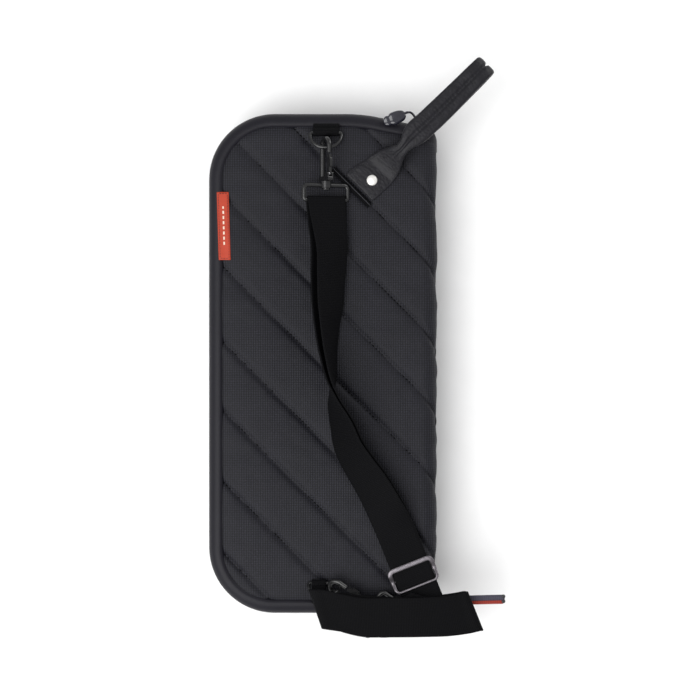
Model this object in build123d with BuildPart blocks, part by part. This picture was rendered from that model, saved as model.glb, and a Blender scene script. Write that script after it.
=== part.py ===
from build123d import *
import os
from math import cos, pi, radians, sin, sqrt

# Drum stick bag, a quilted folio that opens like a book about its spine.
# It lies on its back: X across, Y along towards the top ring, Z up, in millimetres.
os.makedirs("parts", exist_ok=True)

# the bag's closed shape
left_x = -109.0
top_y = 241.0
bottom_y = -243.0
spine_x = 111.0
depth = 66.0
corner_r = 63.0
top_slope_x = 39.0        # from here the top edge falls towards the spine
bottom_slope_x = 50.0
edge_slope = 0.205
slope_blend_r = 150.0

# quilted panels, gusset band and the bend beside the spine
panel_t = 6.0
band_w = 11.0
gusset_t = 3.0
gusset_round = 9.5
bend_r = 14.0
bend_x = spine_x - bend_r
gusset_end_x = 96.0
spine_half_y = 214.0
hinge_gap_deg = 2.0

# zip round three sides
zip_z = 42.0
zip_gap = 0.8
tape_w = 12.2
tape_t = 1.0
tape_inset = 3.3
teeth_w = 2.2
teeth_t = 1.6
gusset_zip_gap = 7.0

# lining and pockets
lining_t = 1.4
sleeve_channels = 4
channel_w = 38.0
channel_h = 13.0
sleeve_t = 1.5
sleeve_low_y = -212.0
sleeve_high_y = -20.0

# webbing and hardware
web_w = 38.0
web_t = 1.6
tab_w = 25.0
ring_wire = 3.2
ring_w = 30.0
ring_h = 16.3
ring_tilt = 25.0
hook_half = 6.8
hook_bar = 4.6
hook_roll = 60.0
low_hook_roll = 34.5
eye_w = 44.0
eye_v = 14.4
eye_bar = 4.0
eye_tilt = 18.0
glide_w = 43.0
glide_pitch = 11.0

# handle, set diagonally across the top corner of the front
rivet_x = 48.5
rivet_y = 176.5
handle_len = 157.0
handle_w = 23.0
leather_t = 3.0
crease_s = 12.5


def save(part, label):
    part.label = label
    export_step(part, f"parts/{label}.step")


# ---------------------------------------------------------------- plan shapes

def top_edge(x):
    return top_y - max(0.0, x - top_slope_x) * edge_slope


def bottom_edge(x):
    return bottom_y + max(0.0, x - bottom_slope_x) * edge_slope


def bag_plan(inset, right):
    # plan of the bag, drawn in by inset on three sides and square at right
    radius = corner_r - inset
    corners = [
        (right, bottom_edge(right) + inset),
        (bottom_slope_x, bottom_y + inset),
        (left_x + inset, bottom_y + inset),
        (left_x + inset, top_y - inset),
        (top_slope_x, top_y - inset),
        (right, top_edge(right) - inset),
    ]
    with BuildSketch() as plan:
        with BuildLine():
            edge = FilletPolyline(*corners, radius=[slope_blend_r, radius, radius, slope_blend_r])
            Line(edge @ 1, edge @ 0)
        make_face()
    return plan.sketch


def bag_ring(outer_inset, inner_inset, right):
    # a strip that follows the three zipped sides and is open at the spine
    with BuildSketch() as ring:
        add(bag_plan(outer_inset, right))
        add(bag_plan(inner_inset, right + 20), mode=Mode.SUBTRACT)
    return ring.sketch


def ring_strip(outer_inset, inner_inset, z_low, height):
    with BuildPart() as strip:
        with BuildSketch(Plane.XY.offset(z_low)):
            add(bag_ring(outer_inset, inner_inset, gusset_end_x))
        extrude(amount=height)
    return strip.part


def bend_sector(centre_z, start_deg, end_deg):
    # curved stretch of quilted panel beside the spine, seen along the spine
    outer, inner = bend_r, bend_r - panel_t
    middle = (start_deg + end_deg) / 2

    def at(radius, angle):
        return (bend_x + radius * cos(radians(angle)), centre_z + radius * sin(radians(angle)))

    with BuildSketch(Plane.XZ.offset(-spine_half_y)) as sector:
        with BuildLine():
            ThreePointArc(at(outer, start_deg), at(outer, middle), at(outer, end_deg))
            Line(at(outer, end_deg), at(inner, end_deg))
            ThreePointArc(at(inner, end_deg), at(inner, middle), at(inner, start_deg))
            Line(at(inner, start_deg), at(outer, start_deg))
        make_face()
    return sector.sketch


# ---------------------------------------------------------------- quilted body

with BuildPart() as back_panel:
    with BuildSketch():
        add(bag_plan(band_w + 0.3, bend_x))
    extrude(amount=panel_t)
    extrude(bend_sector(bend_r, -90, -45 - hinge_gap_deg), amount=2 * spine_half_y)
save(back_panel.part, "back_panel")

with BuildPart() as front_panel:
    with BuildSketch(Plane.XY.offset(depth - panel_t)):
        add(bag_plan(band_w + 0.3, bend_x))
    extrude(amount=panel_t)
    extrude(bend_sector(depth - bend_r, 45 + hinge_gap_deg, 90), amount=2 * spine_half_y)
    with Locations((rivet_x, rivet_y, depth)):
        Hole(2.3)
save(front_panel.part, "front_panel")

with BuildPart() as spine_panel:
    with BuildSketch(Plane.XZ.offset(-spine_half_y)):
        with Locations((spine_x - panel_t / 2, depth / 2)):
            Rectangle(panel_t, depth - 2 * bend_r)
    extrude(amount=2 * spine_half_y)
    extrude(bend_sector(bend_r, -45 + hinge_gap_deg, 0), amount=2 * spine_half_y)
    extrude(bend_sector(depth - bend_r, 0, 45 - hinge_gap_deg), amount=2 * spine_half_y)
save(spine_panel.part, "spine_panel")

reach = spine_x - gusset_end_x - 0.3
inner = reach - gusset_t
with BuildPart() as spine_ends:
    for side in (1, -1):
        centre = (spine_x - reach, side * (spine_half_y + 0.4))
        with BuildSketch(Plane.XY.offset(bend_r)):
            with BuildLine():
                a0 = (centre[0] + reach, centre[1])
                a1 = (centre[0] + reach * cos(pi / 4), centre[1] + side * reach * sin(pi / 4))
                a2 = (centre[0], centre[1] + side * reach)
                b0 = (centre[0] + inner, centre[1])
                b1 = (centre[0] + inner * cos(pi / 4), centre[1] + side * inner * sin(pi / 4))
                b2 = (centre[0], centre[1] + side * inner)
                ThreePointArc(a0, a1, a2)
                Line(a2, b2)
                ThreePointArc(b2, b1, b0)
                Line(b0, a0)
            make_face()
        extrude(amount=depth - 2 * bend_r)
save(spine_ends.part, "spine_ends")


def gusset(edge_z, open_z):
    # half of the zipped side wall: it rolls from the face's seam into the wall
    up = 1 if edge_z > open_z else -1
    height = abs(edge_z - open_z)
    with BuildPart() as wall:
        with BuildSketch(Plane.XY.offset(open_z)):
            add(bag_plan(0, spine_x + 30))
        extrude(amount=up * height)
        rolled = wall.faces().sort_by(Axis.Z)[-1 if up > 0 else 0].edges()
        fillet(rolled, gusset_round)
        with BuildPart(mode=Mode.PRIVATE) as hollow:
            with BuildSketch(Plane.XY.offset(open_z)):
                add(bag_plan(gusset_t, spine_x + 40))
            extrude(amount=up * (height - gusset_t))
            inside = hollow.faces().sort_by(Axis.Z)[-1 if up > 0 else 0].edges()
            fillet(inside, gusset_round - gusset_t)
        add(hollow.part, mode=Mode.SUBTRACT)
        with BuildSketch(Plane.XY.offset(open_z)):
            add(bag_plan(band_w, spine_x + 50))
        extrude(amount=up * (height + 5), mode=Mode.SUBTRACT)
        with Locations((gusset_end_x + 60, 0, open_z)):
            Box(120, 600, 200, mode=Mode.SUBTRACT)
    return wall.part


save(gusset(1.5, zip_z - gusset_zip_gap), "back_gusset")
save(gusset(depth - 1.5, zip_z + gusset_zip_gap), "front_gusset")

# bound seam allowances inside the two corners
binding_t = 1.4
save(ring_strip(8.5, band_w, gusset_t + 1.8, binding_t), "back_seam_binding")
save(ring_strip(8.5, band_w, depth - gusset_t - 1.8 - binding_t, binding_t), "front_seam_binding")

# zip tapes and their rows of coil teeth
save(ring_strip(tape_inset, tape_inset + tape_t, zip_z + zip_gap, tape_w), "front_zip_tape")
save(ring_strip(tape_inset, tape_inset + tape_t, zip_z - zip_gap - tape_w, tape_w), "back_zip_tape")
teeth_inset = tape_inset - teeth_t
save(ring_strip(teeth_inset, tape_inset, zip_z + zip_gap, teeth_w), "front_zip_teeth")
save(ring_strip(teeth_inset, tape_inset, zip_z - zip_gap - teeth_w, teeth_w), "back_zip_teeth")

# ---------------------------------------------------------------- lining and pockets

with BuildPart() as back_lining:
    with BuildSketch(Plane.XY.offset(panel_t + 0.3)):
        add(bag_plan(band_w + 3, gusset_end_x))
    extrude(amount=lining_t)
save(back_lining.part, "back_lining")

with BuildPart() as front_lining:
    with BuildSketch(Plane.XY.offset(depth - panel_t - 0.3 - lining_t)):
        add(bag_plan(band_w + 3, gusset_end_x))
    extrude(amount=lining_t)
    with Locations((rivet_x, rivet_y, depth - panel_t)):
        Hole(2.3)
save(front_lining.part, "front_lining")

with BuildPart() as spine_lining:
    with Locations((spine_x - panel_t - 0.3 - lining_t / 2, 0, depth / 2)):
        Box(lining_t, 2 * spine_half_y - 4, depth - 2 * bend_r)
save(spine_lining.part, "spine_lining")

# open-topped stick channels sewn side by side on the back lining
sleeve_z = panel_t + 0.3 + lining_t + 0.1
sleeve_left = -88.0
channel_x = [sleeve_left + channel_w * (i + 0.5) for i in range(sleeve_channels)]
feet_gap = 0.2


def channel_arch(x, half, y_high):
    # one arch, with its two feet on the lining
    foot = half - 2.8
    with BuildSketch(Plane.XZ.offset(-y_high)) as arch:
        with BuildLine():
            ThreePointArc((x - half, sleeve_z), (x, sleeve_z + channel_h), (x + half, sleeve_z))
            Line((x + half, sleeve_z), (x + foot, sleeve_z))
            ThreePointArc((x + foot, sleeve_z), (x, sleeve_z + channel_h - sleeve_t),
                          (x - foot, sleeve_z))
            Line((x - foot, sleeve_z), (x - half, sleeve_z))
        make_face()
    return arch.sketch


for i, x in enumerate(channel_x):
    with BuildPart() as stick_sleeve:
        arch = channel_arch(x, (channel_w - feet_gap) / 2, sleeve_high_y)
        extrude(arch, amount=sleeve_high_y - sleeve_low_y)
        with Locations((x, sleeve_low_y - 1, sleeve_z + 1)):
            Box(channel_w - feet_gap, 6, 2)
    save(stick_sleeve.part, f"stick_sleeve_{i + 1}")

# the binding is one tape, so its arches run into each other at their feet
with BuildPart() as sleeve_binding:
    for x in channel_x:
        extrude(channel_arch(x, channel_w / 2 + 0.4, sleeve_high_y + 8.3), amount=8)
save(sleeve_binding.part, "sleeve_binding")

with BuildPart() as stick_keeper:
    with Locations(((channel_x[0] + channel_x[-1]) / 2, 130, sleeve_z + 8)):
        Box(sleeve_channels * channel_w, 30, 1.5)
    for i in range(sleeve_channels + 1):
        with Locations((sleeve_left + channel_w * i, 130, sleeve_z + 3.7)):
            Box(3, 30, 7.4)
save(stick_keeper.part, "stick_keeper")

# one flat pocket inside the front cover
pocket_z = depth - panel_t - 0.3 - lining_t - 0.1
pocket_h = 8.0
with BuildPart() as cover_pocket:
    with Locations((-5, -75, pocket_z - pocket_h / 2)):
        Box(170, 250, pocket_h)
        with Locations((0, sleeve_t, sleeve_t / 2)):
            Box(170 - 2 * sleeve_t, 250, pocket_h - sleeve_t, mode=Mode.SUBTRACT)
save(cover_pocket.part, "cover_pocket")

with BuildPart() as pocket_binding:
    with Locations((-5, 54.3, pocket_z - pocket_h + 0.8)):
        Box(170, 8, 1.6)
save(pocket_binding.part, "pocket_binding")

with BuildPart() as side_label:
    with Locations((-95.3, 132.3, depth + 0.8)):
        Box(11.6, 66, 1.2)
save(side_label.part, "side_label")

# ---------------------------------------------------------------- rings and their tabs

ring_x = 3.9
ring_y = 222.5
ring_z = 69.6
low_ring_x = 2.0
low_ring_y = -213.5
low_ring_tilt = 50.0
low_tab_w = 14.0


def ring_plane(x, y, z, tilt):
    out = Vector(0, -cos(radians(tilt)), sin(radians(tilt)))
    across = Vector(1, 0, 0)
    return Plane(origin=(x, y, z), x_dir=across, z_dir=across.cross(out))


def d_ring(plane):
    half = ring_w / 2
    corners = [(0, 0), (half, 0), (half, ring_h), (-half, ring_h), (-half, 0)]
    with BuildPart() as ring:
        with BuildLine(plane) as path:
            FilletPolyline(*corners, radius=[0, 2.5, 13.3, 13.3, 2.5], close=True)
        with BuildSketch(Plane(origin=plane.origin, z_dir=plane.x_dir)):
            Circle(ring_wire / 2)
        sweep(path=path.wires()[0])
    return ring.part


def ring_tab(x, width, ring_bar_y, bar_z, seam_y):
    # webbing folded round the ring's bar and sewn into the seam behind it
    toward = 1 if seam_y > ring_bar_y else -1
    with BuildPart() as tab:
        with Locations(Location((x, ring_bar_y, bar_z), (0, 90, 0))):
            Cylinder(ring_wire / 2 + 0.3 + web_t, width)
        low_z = depth + 0.2
        length = abs(seam_y - ring_bar_y)
        with Locations((x, ring_bar_y + toward * length / 2, low_z + web_t)):
            Box(width, length, 2 * web_t)
        with Locations(Location((x, ring_bar_y, bar_z), (0, 90, 0))):
            Cylinder(ring_wire / 2 + 0.3, width + 2, mode=Mode.SUBTRACT)
    return tab.part


save(d_ring(ring_plane(ring_x, ring_y, ring_z, ring_tilt)), "top_ring")
save(ring_tab(ring_x, tab_w, ring_y, ring_z, 231.0), "top_ring_tab")
save(d_ring(ring_plane(low_ring_x, low_ring_y, ring_z, low_ring_tilt)), "bottom_ring")
save(ring_tab(low_ring_x - 5, low_tab_w, low_ring_y, ring_z, -231.0), "bottom_ring_tab")

# ---------------------------------------------------------------- snap hooks

swivel_a = Vector(3.9, 173.1, 76.5)
axis_a = Vector(0, 1, 0)
swivel_b = Vector(44.1, -237.5, 75.7)
axis_b = Vector(-0.82, 0.57, 0).normalized()


def hook_plane(swivel, axis, roll):
    flat = axis.cross(Vector(0, 0, 1))
    across = flat * cos(radians(roll)) + Vector(0, 0, 1) * sin(radians(roll))
    return Plane(origin=swivel, x_dir=across, z_dir=across.cross(axis))


post_r = 2.0
hook_top = 36.2
gate_low = 8.6
gate_high = 27.0


def snap_hook(plane):
    # across is x, the shank runs along y, and the gate side is at +x
    with BuildPart(plane) as hook:
        with BuildLine(plane) as bend:
            Line((-hook_half, 3), (-hook_half, hook_top))
            ThreePointArc((-hook_half, hook_top), (0, hook_top + hook_half), (hook_half, hook_top))
            Line((hook_half, hook_top), (hook_half, gate_high + 2))
        with BuildSketch(Plane(origin=bend.line @ 0, z_dir=plane.y_dir)):
            Circle(hook_bar / 2)
        sweep(path=bend.wires()[0])
        with BuildSketch(plane.offset(-2.6)):
            with Locations((0, 4.2)):
                RectangleRounded(2 * hook_half + 5.2, 4.4, 1.6)
        extrude(amount=5.2)
        with BuildSketch(plane.offset(-3)):
            with Locations((hook_half, gate_low - 1)):
                RectangleRounded(5, 5.5, 1.5)
        extrude(amount=1.4)
        with BuildSketch(plane.offset(1.6)):
            with Locations((hook_half, gate_low - 1)):
                RectangleRounded(5, 5.5, 1.5)
        extrude(amount=1.4)
        with BuildSketch(plane.offset(-2.6)):
            with Locations((hook_half, gate_low)):
                Circle(0.9)
        extrude(amount=5.2)
        turned = Plane(origin=plane.origin - plane.y_dir * 6.6, z_dir=plane.y_dir)
        with BuildSketch(turned):
            Circle(post_r)
        extrude(amount=9.5)
        with BuildSketch(turned):
            Circle(3.6)
        extrude(amount=1.6)
    return hook.part


def hook_gate(plane):
    with BuildPart(plane) as gate:
        with BuildSketch(plane.offset(-1.4)):
            with Locations((hook_half, gate_low)):
                Circle(1.9)
            with Locations((hook_half, (gate_low + gate_high) / 2)):
                Rectangle(3.6, gate_high - gate_low)
            with Locations((hook_half + 2.2, (gate_low + gate_high) / 2 + 2)):
                RectangleRounded(3.2, 9, 1.2)
            with Locations((hook_half, gate_low)):
                Circle(0.97, mode=Mode.SUBTRACT)
        extrude(amount=2.8)
        with BuildSketch(plane.offset(0.2)):
            with Locations((hook_half, gate_low)):
                Circle(2.6)
        extrude(amount=2, mode=Mode.SUBTRACT)
    return gate.part


def gate_spring(plane):
    with BuildPart() as spring:
        with BuildSketch(plane.offset(0.35)):
            with Locations((hook_half, gate_low)):
                Circle(1.8)
                Circle(0.95, mode=Mode.SUBTRACT)
        extrude(amount=1)
    return spring.part


def hook_eye(swivel, axis, tilt):
    # flat loop for the webbing, with a barrel that the hook's post turns in
    plane = hook_plane(swivel, axis, tilt)
    half = eye_w / 2
    with BuildPart(plane) as eye:
        with BuildLine(plane) as path:
            FilletPolyline((0, -2), (half, -2), (half, -2 - eye_v), (-half, -2 - eye_v), (-half, -2),
                           radius=[0, 4, 2.6, 2.6, 4], close=True)
        with BuildSketch(Plane(origin=plane.from_local_coords((0, -2, 0)), z_dir=plane.x_dir)):
            Circle(eye_bar / 2)
        sweep(path=path.wires()[0])
        barrel = Plane(origin=plane.origin - plane.y_dir * 4.8, z_dir=plane.y_dir)
        with BuildSketch(barrel):
            Circle(5.2)
        extrude(amount=6.4)
        with BuildSketch(barrel.offset(-5)):
            Circle(post_r + 0.07)
        extrude(amount=20, mode=Mode.SUBTRACT)
    return eye.part


ends = (("a", swivel_a, axis_a, hook_roll, -eye_tilt), ("b", swivel_b, axis_b, low_hook_roll, 0))
for end, swivel, axis, roll, tilt in ends:
    plane = hook_plane(swivel, axis, roll)
    save(snap_hook(plane), f"hook_{end}")
    save(hook_gate(plane), f"hook_gate_{end}")
    save(gate_spring(plane), f"gate_spring_{end}")
    save(hook_eye(swivel, axis, tilt), f"hook_eye_{end}")

# ---------------------------------------------------------------- shoulder strap

# stations of the doubled run: x, y, roll in degrees, and gap between its plies
glide_x, glide_y = 88.7, -205.6
glide_dir = Vector(0.37, -0.929, 0).normalized()
web_z = 72.9
ply_drop = 4.4
double_run = [
    (3.9, 156.7, 18, 6.2),
    (4.6, 145.0, 24, 7.0),
    (7.3, 109.1, 39, 9.0),
    (6.1, 82.0, 46, 9.0),
    (5.6, 54.8, 52, 8.0),
    (5.0, 34.4, 63, 7.0),
    (6.3, 7.3, 74, 5.5),
    (10.2, -21.8, 88, 4.0),
    (12.6, -36.4, 104, 3.6),
    (20.4, -59.7, 124, 3.8),
    (27.2, -82.0, 136, 4.0),
    (37.8, -100.4, 143, 4.0),
    (48.5, -116.9, 150, 4.2),
    (60.1, -138.2, 158, ply_drop),
]


def resting(x, y, roll, gap):
    # height at which the doubled webbing just clears the face
    tilt = radians(roll)
    lift = web_w / 2 * sin(tilt) + gap / 2 * abs(cos(tilt)) + web_t / 2
    return (x, y, depth + 0.8 + lift, roll, gap)


def ribbon_planes(stations):
    # one cutting plane a station: its x runs across the webbing, its z along it
    points = [Vector(*s[:3]) for s in stations]
    planes = []
    for i, station in enumerate(stations):
        ahead = points[min(i + 1, len(points) - 1)] - points[max(i - 1, 0)]
        along = ahead.normalized()
        level = Vector(along.Y, -along.X, 0).normalized()
        roll = radians(station[3])
        across = level * cos(roll) + Vector(0, 0, 1) * sin(roll)
        across = (across - along * across.dot(along)).normalized()
        planes.append(Plane(origin=points[i], x_dir=across, z_dir=along))
    return planes


def ply(stations, side):
    sections = []
    for plane, station in zip(ribbon_planes(stations), stations):
        shifted = plane.origin - plane.y_dir * (side * station[4] / 2)
        with BuildSketch(Plane(origin=shifted, x_dir=plane.x_dir, z_dir=plane.z_dir)) as section:
            Rectangle(web_w, web_t)
        sections.append(section.sketch)
    loft(sections, ruled=True)


def along_glide(distance, z):
    return (glide_x + glide_dir.X * distance, glide_y + glide_dir.Y * distance, z)


def bight(bar, plane):
    # webbing turned round an eye's bar
    inside = eye_bar / 2 + 0.3
    turn = Plane(origin=bar - plane.x_dir * web_w / 2, x_dir=plane.y_dir, z_dir=plane.x_dir)
    with BuildSketch(turn) as half:
        Circle(inside + web_t)
        Circle(inside, mode=Mode.SUBTRACT)
        with Locations((-10, 0)):
            Rectangle(20, 20, mode=Mode.SUBTRACT)
    extrude(half.sketch, amount=web_w)


double_stations = [resting(*station) for station in double_run]
double_stations[0] = (*double_run[0][:2], swivel_a.Z, *double_run[0][2:])
double_stations += [
    (*along_glide(-42, web_z - ply_drop / 2), 176, ply_drop),
    (*along_glide(-26, web_z - ply_drop / 2), 180, ply_drop),
]
single_stations = [
    (*along_glide(-26, web_z), 180, 0),
    (*along_glide(20, web_z), 180, 0),
    (*along_glide(27, web_z + 2), 180, 0),
    (*along_glide(34, web_z + 8), 180, 0),
    (*along_glide(42, web_z + 9), 180, 0),
]
eye_a = hook_plane(swivel_a, axis_a, -eye_tilt)
with BuildPart() as strap_upper:
    ply(double_stations, 1)
    ply(double_stations, -1)
    ply(single_stations, 0)
    bight(eye_a.from_local_coords((0, -2 - eye_v, 0)), eye_a)
save(strap_upper.part, "strap_upper")

# the spare length folds back and forth along the bag's lower edge
mid_z, top_z, low_z = 85.2, 88.8, 76.5
eye_b = hook_plane(swivel_b, axis_b, 0)
bar_b = eye_b.from_local_coords((0, -2 - eye_v, 0))
back_b = eye_b.y_dir * -1
bight_drop = eye_bar / 2 + 0.3 + web_t / 2
start_b = bar_b - Vector(0, 0, bight_drop)
end_b = start_b + back_b * 14
band_top = [(-5, -239, top_z), (20, -239, top_z), (40, -242, top_z), (60, -244, top_z),
            (95, -245, top_z - 1.5), (124, -244, top_z - 5), (146, -239, top_z - 8)]
band_mid = [(-5, -239, mid_z), (20, -239, mid_z), (40, -242, mid_z), (60, -244, mid_z),
            (82, -244, web_z + 9)]
band_low = [(start_b.X, start_b.Y, start_b.Z), (end_b.X, end_b.Y, end_b.Z + 0.3),
            (86, -251, 75.0), (104, -247, 75.6), (126, -243, 76.0), (146, -239, 76.6)]
tail_b = bar_b + Vector(0, 0, bight_drop)
with BuildPart() as strap_lower:
    for route in (band_top, band_mid, band_low):
        ply([(*point, 180, 0) for point in route], 0)
    ply([(tail_b.X, tail_b.Y, tail_b.Z, 180, 0),
         (tail_b.X + back_b.X * 20, tail_b.Y + back_b.Y * 20, tail_b.Z - 1.5, 180, 0)], 0)
    bight(bar_b, eye_b)
    with BuildSketch(Plane.XY.offset(web_z + 9 - web_t / 2)):
        with BuildLine():
            Polyline((86, -221), (119, -229), (109, -262), (78, -263), (78, -225), close=True)
        make_face()
    extrude(amount=web_t)
    with Locations((-6, -239, (top_z + mid_z) / 2)):
        Box(2.4, web_w, top_z - mid_z + web_t)
    with Locations(Location((147, -238.8, (top_z - 8 + 76.6) / 2), (0, 0, 12))):
        Box(2.4, web_w, top_z - 8 - 76.6 + web_t)
save(strap_lower.part, "strap_lower")

# ---------------------------------------------------------------- tri-glide

glide = Plane(origin=(glide_x, glide_y, 0), x_dir=(-glide_dir.Y, glide_dir.X, 0), z_dir=(0, 0, 1))
bar_z = 69.2
outer_bar_z = web_z + web_t / 2 + 0.3
rail_x = glide_w / 2
with BuildPart() as tri_glide:
    for y in (-glide_pitch, glide_pitch):
        with BuildSketch(glide.offset(outer_bar_z)):
            with Locations((0, y)):
                RectangleRounded(glide_w + 3.4, 5, 1.6)
        extrude(amount=2.2)
    for x in (-rail_x, rail_x):
        rail = Plane(origin=glide.from_local_coords((x - 1.5, 0, 0)), x_dir=glide.y_dir,
                     z_dir=glide.x_dir)
        with BuildSketch(rail):
            with BuildLine():
                Polyline((-glide_pitch - 2, outer_bar_z + 2.2), (-glide_pitch - 2, outer_bar_z),
                         (-3, bar_z - 1.4), (3, bar_z - 1.4), (glide_pitch + 2, outer_bar_z),
                         (glide_pitch + 2, outer_bar_z + 2.2), (4, bar_z + 1.8), (-4, bar_z + 1.8),
                         close=True)
            make_face()
        extrude(amount=3)
    centre_bar = Plane(origin=glide.from_local_coords((-rail_x, 0, bar_z)), z_dir=glide.x_dir)
    with BuildSketch(centre_bar):
        Circle(1.1)
    extrude(amount=glide_w)
save(tri_glide.part, "tri_glide")

with BuildPart() as strap_end_loop:
    turn = Plane(origin=glide.from_local_coords((-web_w / 2, 0, bar_z)), x_dir=glide.y_dir,
                 z_dir=glide.x_dir)
    with BuildSketch(turn):
        Circle(1.15 + web_t)
        with Locations((-5, -1.15 - web_t / 2)):
            Rectangle(10, web_t)
        Circle(1.15, mode=Mode.SUBTRACT)
    extrude(amount=web_w)
save(strap_end_loop.part, "strap_end_loop")

# ---------------------------------------------------------------- handle

handle_dir = Vector(1, 1, 0).normalized()
handle_side = Vector(1, -1, 0).normalized()
grip = Plane(origin=(rivet_x, rivet_y, 0), x_dir=handle_dir, z_dir=(0, 0, 1))
tab_z = depth + 0.3
with BuildPart() as handle_tab:
    with BuildSketch(grip.offset(tab_z)):
        with BuildLine():
            Polyline((-12, 23), (-14, -14), (5, -15.5), (crease_s - 0.6, -15.2),
                     (crease_s - 0.6, 17.5), close=True)
        make_face()
        Circle(2.3, mode=Mode.SUBTRACT)
    extrude(amount=leather_t)
save(handle_tab.part, "handle_tab")

with BuildPart() as handle_patch:
    with BuildSketch(grip.offset(depth + 0.2)):
        with Locations((-19, 9)):
            RectangleRounded(6, 51, 1.4)
    extrude(amount=1.2)
save(handle_patch.part, "handle_patch")

with BuildPart() as handle_rivet:
    with BuildSketch(grip.offset(tab_z + leather_t)):
        Circle(5.2)
    extrude(amount=1.8, taper=30)
    with BuildSketch(grip.offset(depth - panel_t - 5)):
        Circle(2.0)
    extrude(amount=panel_t + 5 + 0.3 + leather_t + 0.5)
save(handle_rivet.part, "handle_rivet")

with BuildPart() as rivet_burr:
    with BuildSketch(grip.offset(depth - panel_t - 0.3 - lining_t - 1.3)):
        Circle(6.0)
        Circle(2.0, mode=Mode.SUBTRACT)
    extrude(amount=1.2)
save(rivet_burr.part, "rivet_burr")

# the grip is a loop: both legs start at the crease and meet at a square far end
leg_t = 8.5
loop_low_z = depth + 1.4
loop_high_z = 92.0
loop_mid_z = (loop_low_z + leg_t + loop_high_z - leg_t) / 2
profile = Plane(origin=(rivet_x, rivet_y, 0), x_dir=handle_dir, z_dir=handle_side)  # y is up
with BuildPart() as handle_grip:
    with BuildSketch(profile):
        with BuildLine():
            FilletPolyline((crease_s, loop_low_z), (handle_len, loop_low_z), (handle_len, loop_high_z),
                           (62, loop_high_z), (crease_s, loop_low_z + 1), radius=[6, 6, 30])
            Line((crease_s, loop_low_z + 1), (crease_s, loop_low_z))
        make_face()
        with BuildLine():
            Polyline((52, loop_mid_z - 2), (66, loop_low_z + leg_t), (handle_len - leg_t, loop_low_z + leg_t),
                     (handle_len - leg_t, loop_high_z - leg_t), (70, loop_high_z - leg_t), close=True)
        make_face(mode=Mode.SUBTRACT)
    extrude(amount=handle_w / 2, both=True)
save(handle_grip.part, "handle_grip")

# ---------------------------------------------------------------- zip slider, pull and tail

slider_x = 90.0
slider_len = 11.0
bridge_out = 6.0
along_zip = Vector(-1, edge_slope, 0).normalized()
out_zip = Vector(edge_slope, 1, 0).normalized()
slide = Plane(origin=(slider_x, top_edge(slider_x), zip_z), x_dir=along_zip, z_dir=out_zip)
plate_out = 0.3
inner_plate = -(tape_inset + tape_t + 1.6)
with BuildPart() as zip_slider:
    for level, thick in ((plate_out - 1.0, 1.6), (inner_plate, 1.2)):
        with BuildSketch(slide.offset(level)):
            RectangleRounded(slider_len, 10, 2)
        extrude(amount=thick)
    with BuildSketch(slide.offset(inner_plate + 0.6)):
        with Locations((-slider_len / 2 + 1.5, 0)):
            Rectangle(2.4, 0.9)
    extrude(amount=plate_out - inner_plate - 1)
    with BuildSketch(slide.offset(plate_out)):
        with Locations((-2.9, 0), (2.9, 0)):
            Rectangle(1.6, 2.4)
    extrude(amount=bridge_out)
    with BuildSketch(slide.offset(bridge_out - 0.7)):
        Rectangle(7.4, 2.4)
    extrude(amount=1.4)
save(zip_slider.part, "zip_slider")

wire_r = 0.8
bridge = slide.from_local_coords((0, 0, bridge_out))
ring_plan = Plane(origin=bridge, x_dir=out_zip, z_dir=along_zip * -1)
with BuildPart() as pull_wire:
    with BuildLine(ring_plan) as path:
        FilletPolyline((2.3, 6), (2.3, 17), (-2.3, 17), (-2.3, -2.6), (2.3, -2.6),
                       radius=[0, 2.2, 2.2, 2.2, 2.2], close=True)
    with BuildSketch(Plane(origin=ring_plan.from_local_coords((2.3, 6, 0)), z_dir=(0, 0, 1))):
        Circle(wire_r)
    sweep(path=path.wires()[0])
save(pull_wire.part, "pull_wire")

# the moulded grip lies over the rolled edge beside the slider
grip_x, grip_y, grip_z = 70.0, 236.8, 67.8
with BuildPart() as pull_grip:
    with BuildSketch(Plane.XY.offset(grip_z - 3)):
        with Locations((grip_x, grip_y)):
            RectangleRounded(22, 12, 4)
    extrude(amount=6)
    knot = Vector(grip_x + 10, grip_y, grip_z)
    ring_end = bridge + Vector(0, 0, 15.2)
    with BuildSketch(Plane(origin=knot, z_dir=ring_end - knot)):
        Circle(1.5)
    extrude(amount=(ring_end - knot).length + 1)
    with BuildSketch(Plane(origin=ring_end - out_zip * 3.6, z_dir=out_zip)):
        Circle(1.4)
    extrude(amount=7.2)
save(pull_grip.part, "pull_grip")

tail_y, tail_z, tail_end = -228.5, 67.2, 177.0
with BuildPart() as zip_tail:
    with Locations(((86 + tail_end) / 2, tail_y, tail_z + 1.3)):
        Box(tail_end - 86, 5, 2.6)
save(zip_tail.part, "zip_tail")

with BuildPart() as zip_tail_facing:
    with Locations(((86 + tail_end) / 2, tail_y - 4.2, tail_z + 1.0)):
        Box(tail_end - 86, 3.2, 2.0)
save(zip_tail_facing.part, "zip_tail_facing")
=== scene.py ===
import math

import bmesh
import bpy
import numpy as np
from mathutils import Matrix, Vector, noise


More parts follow.
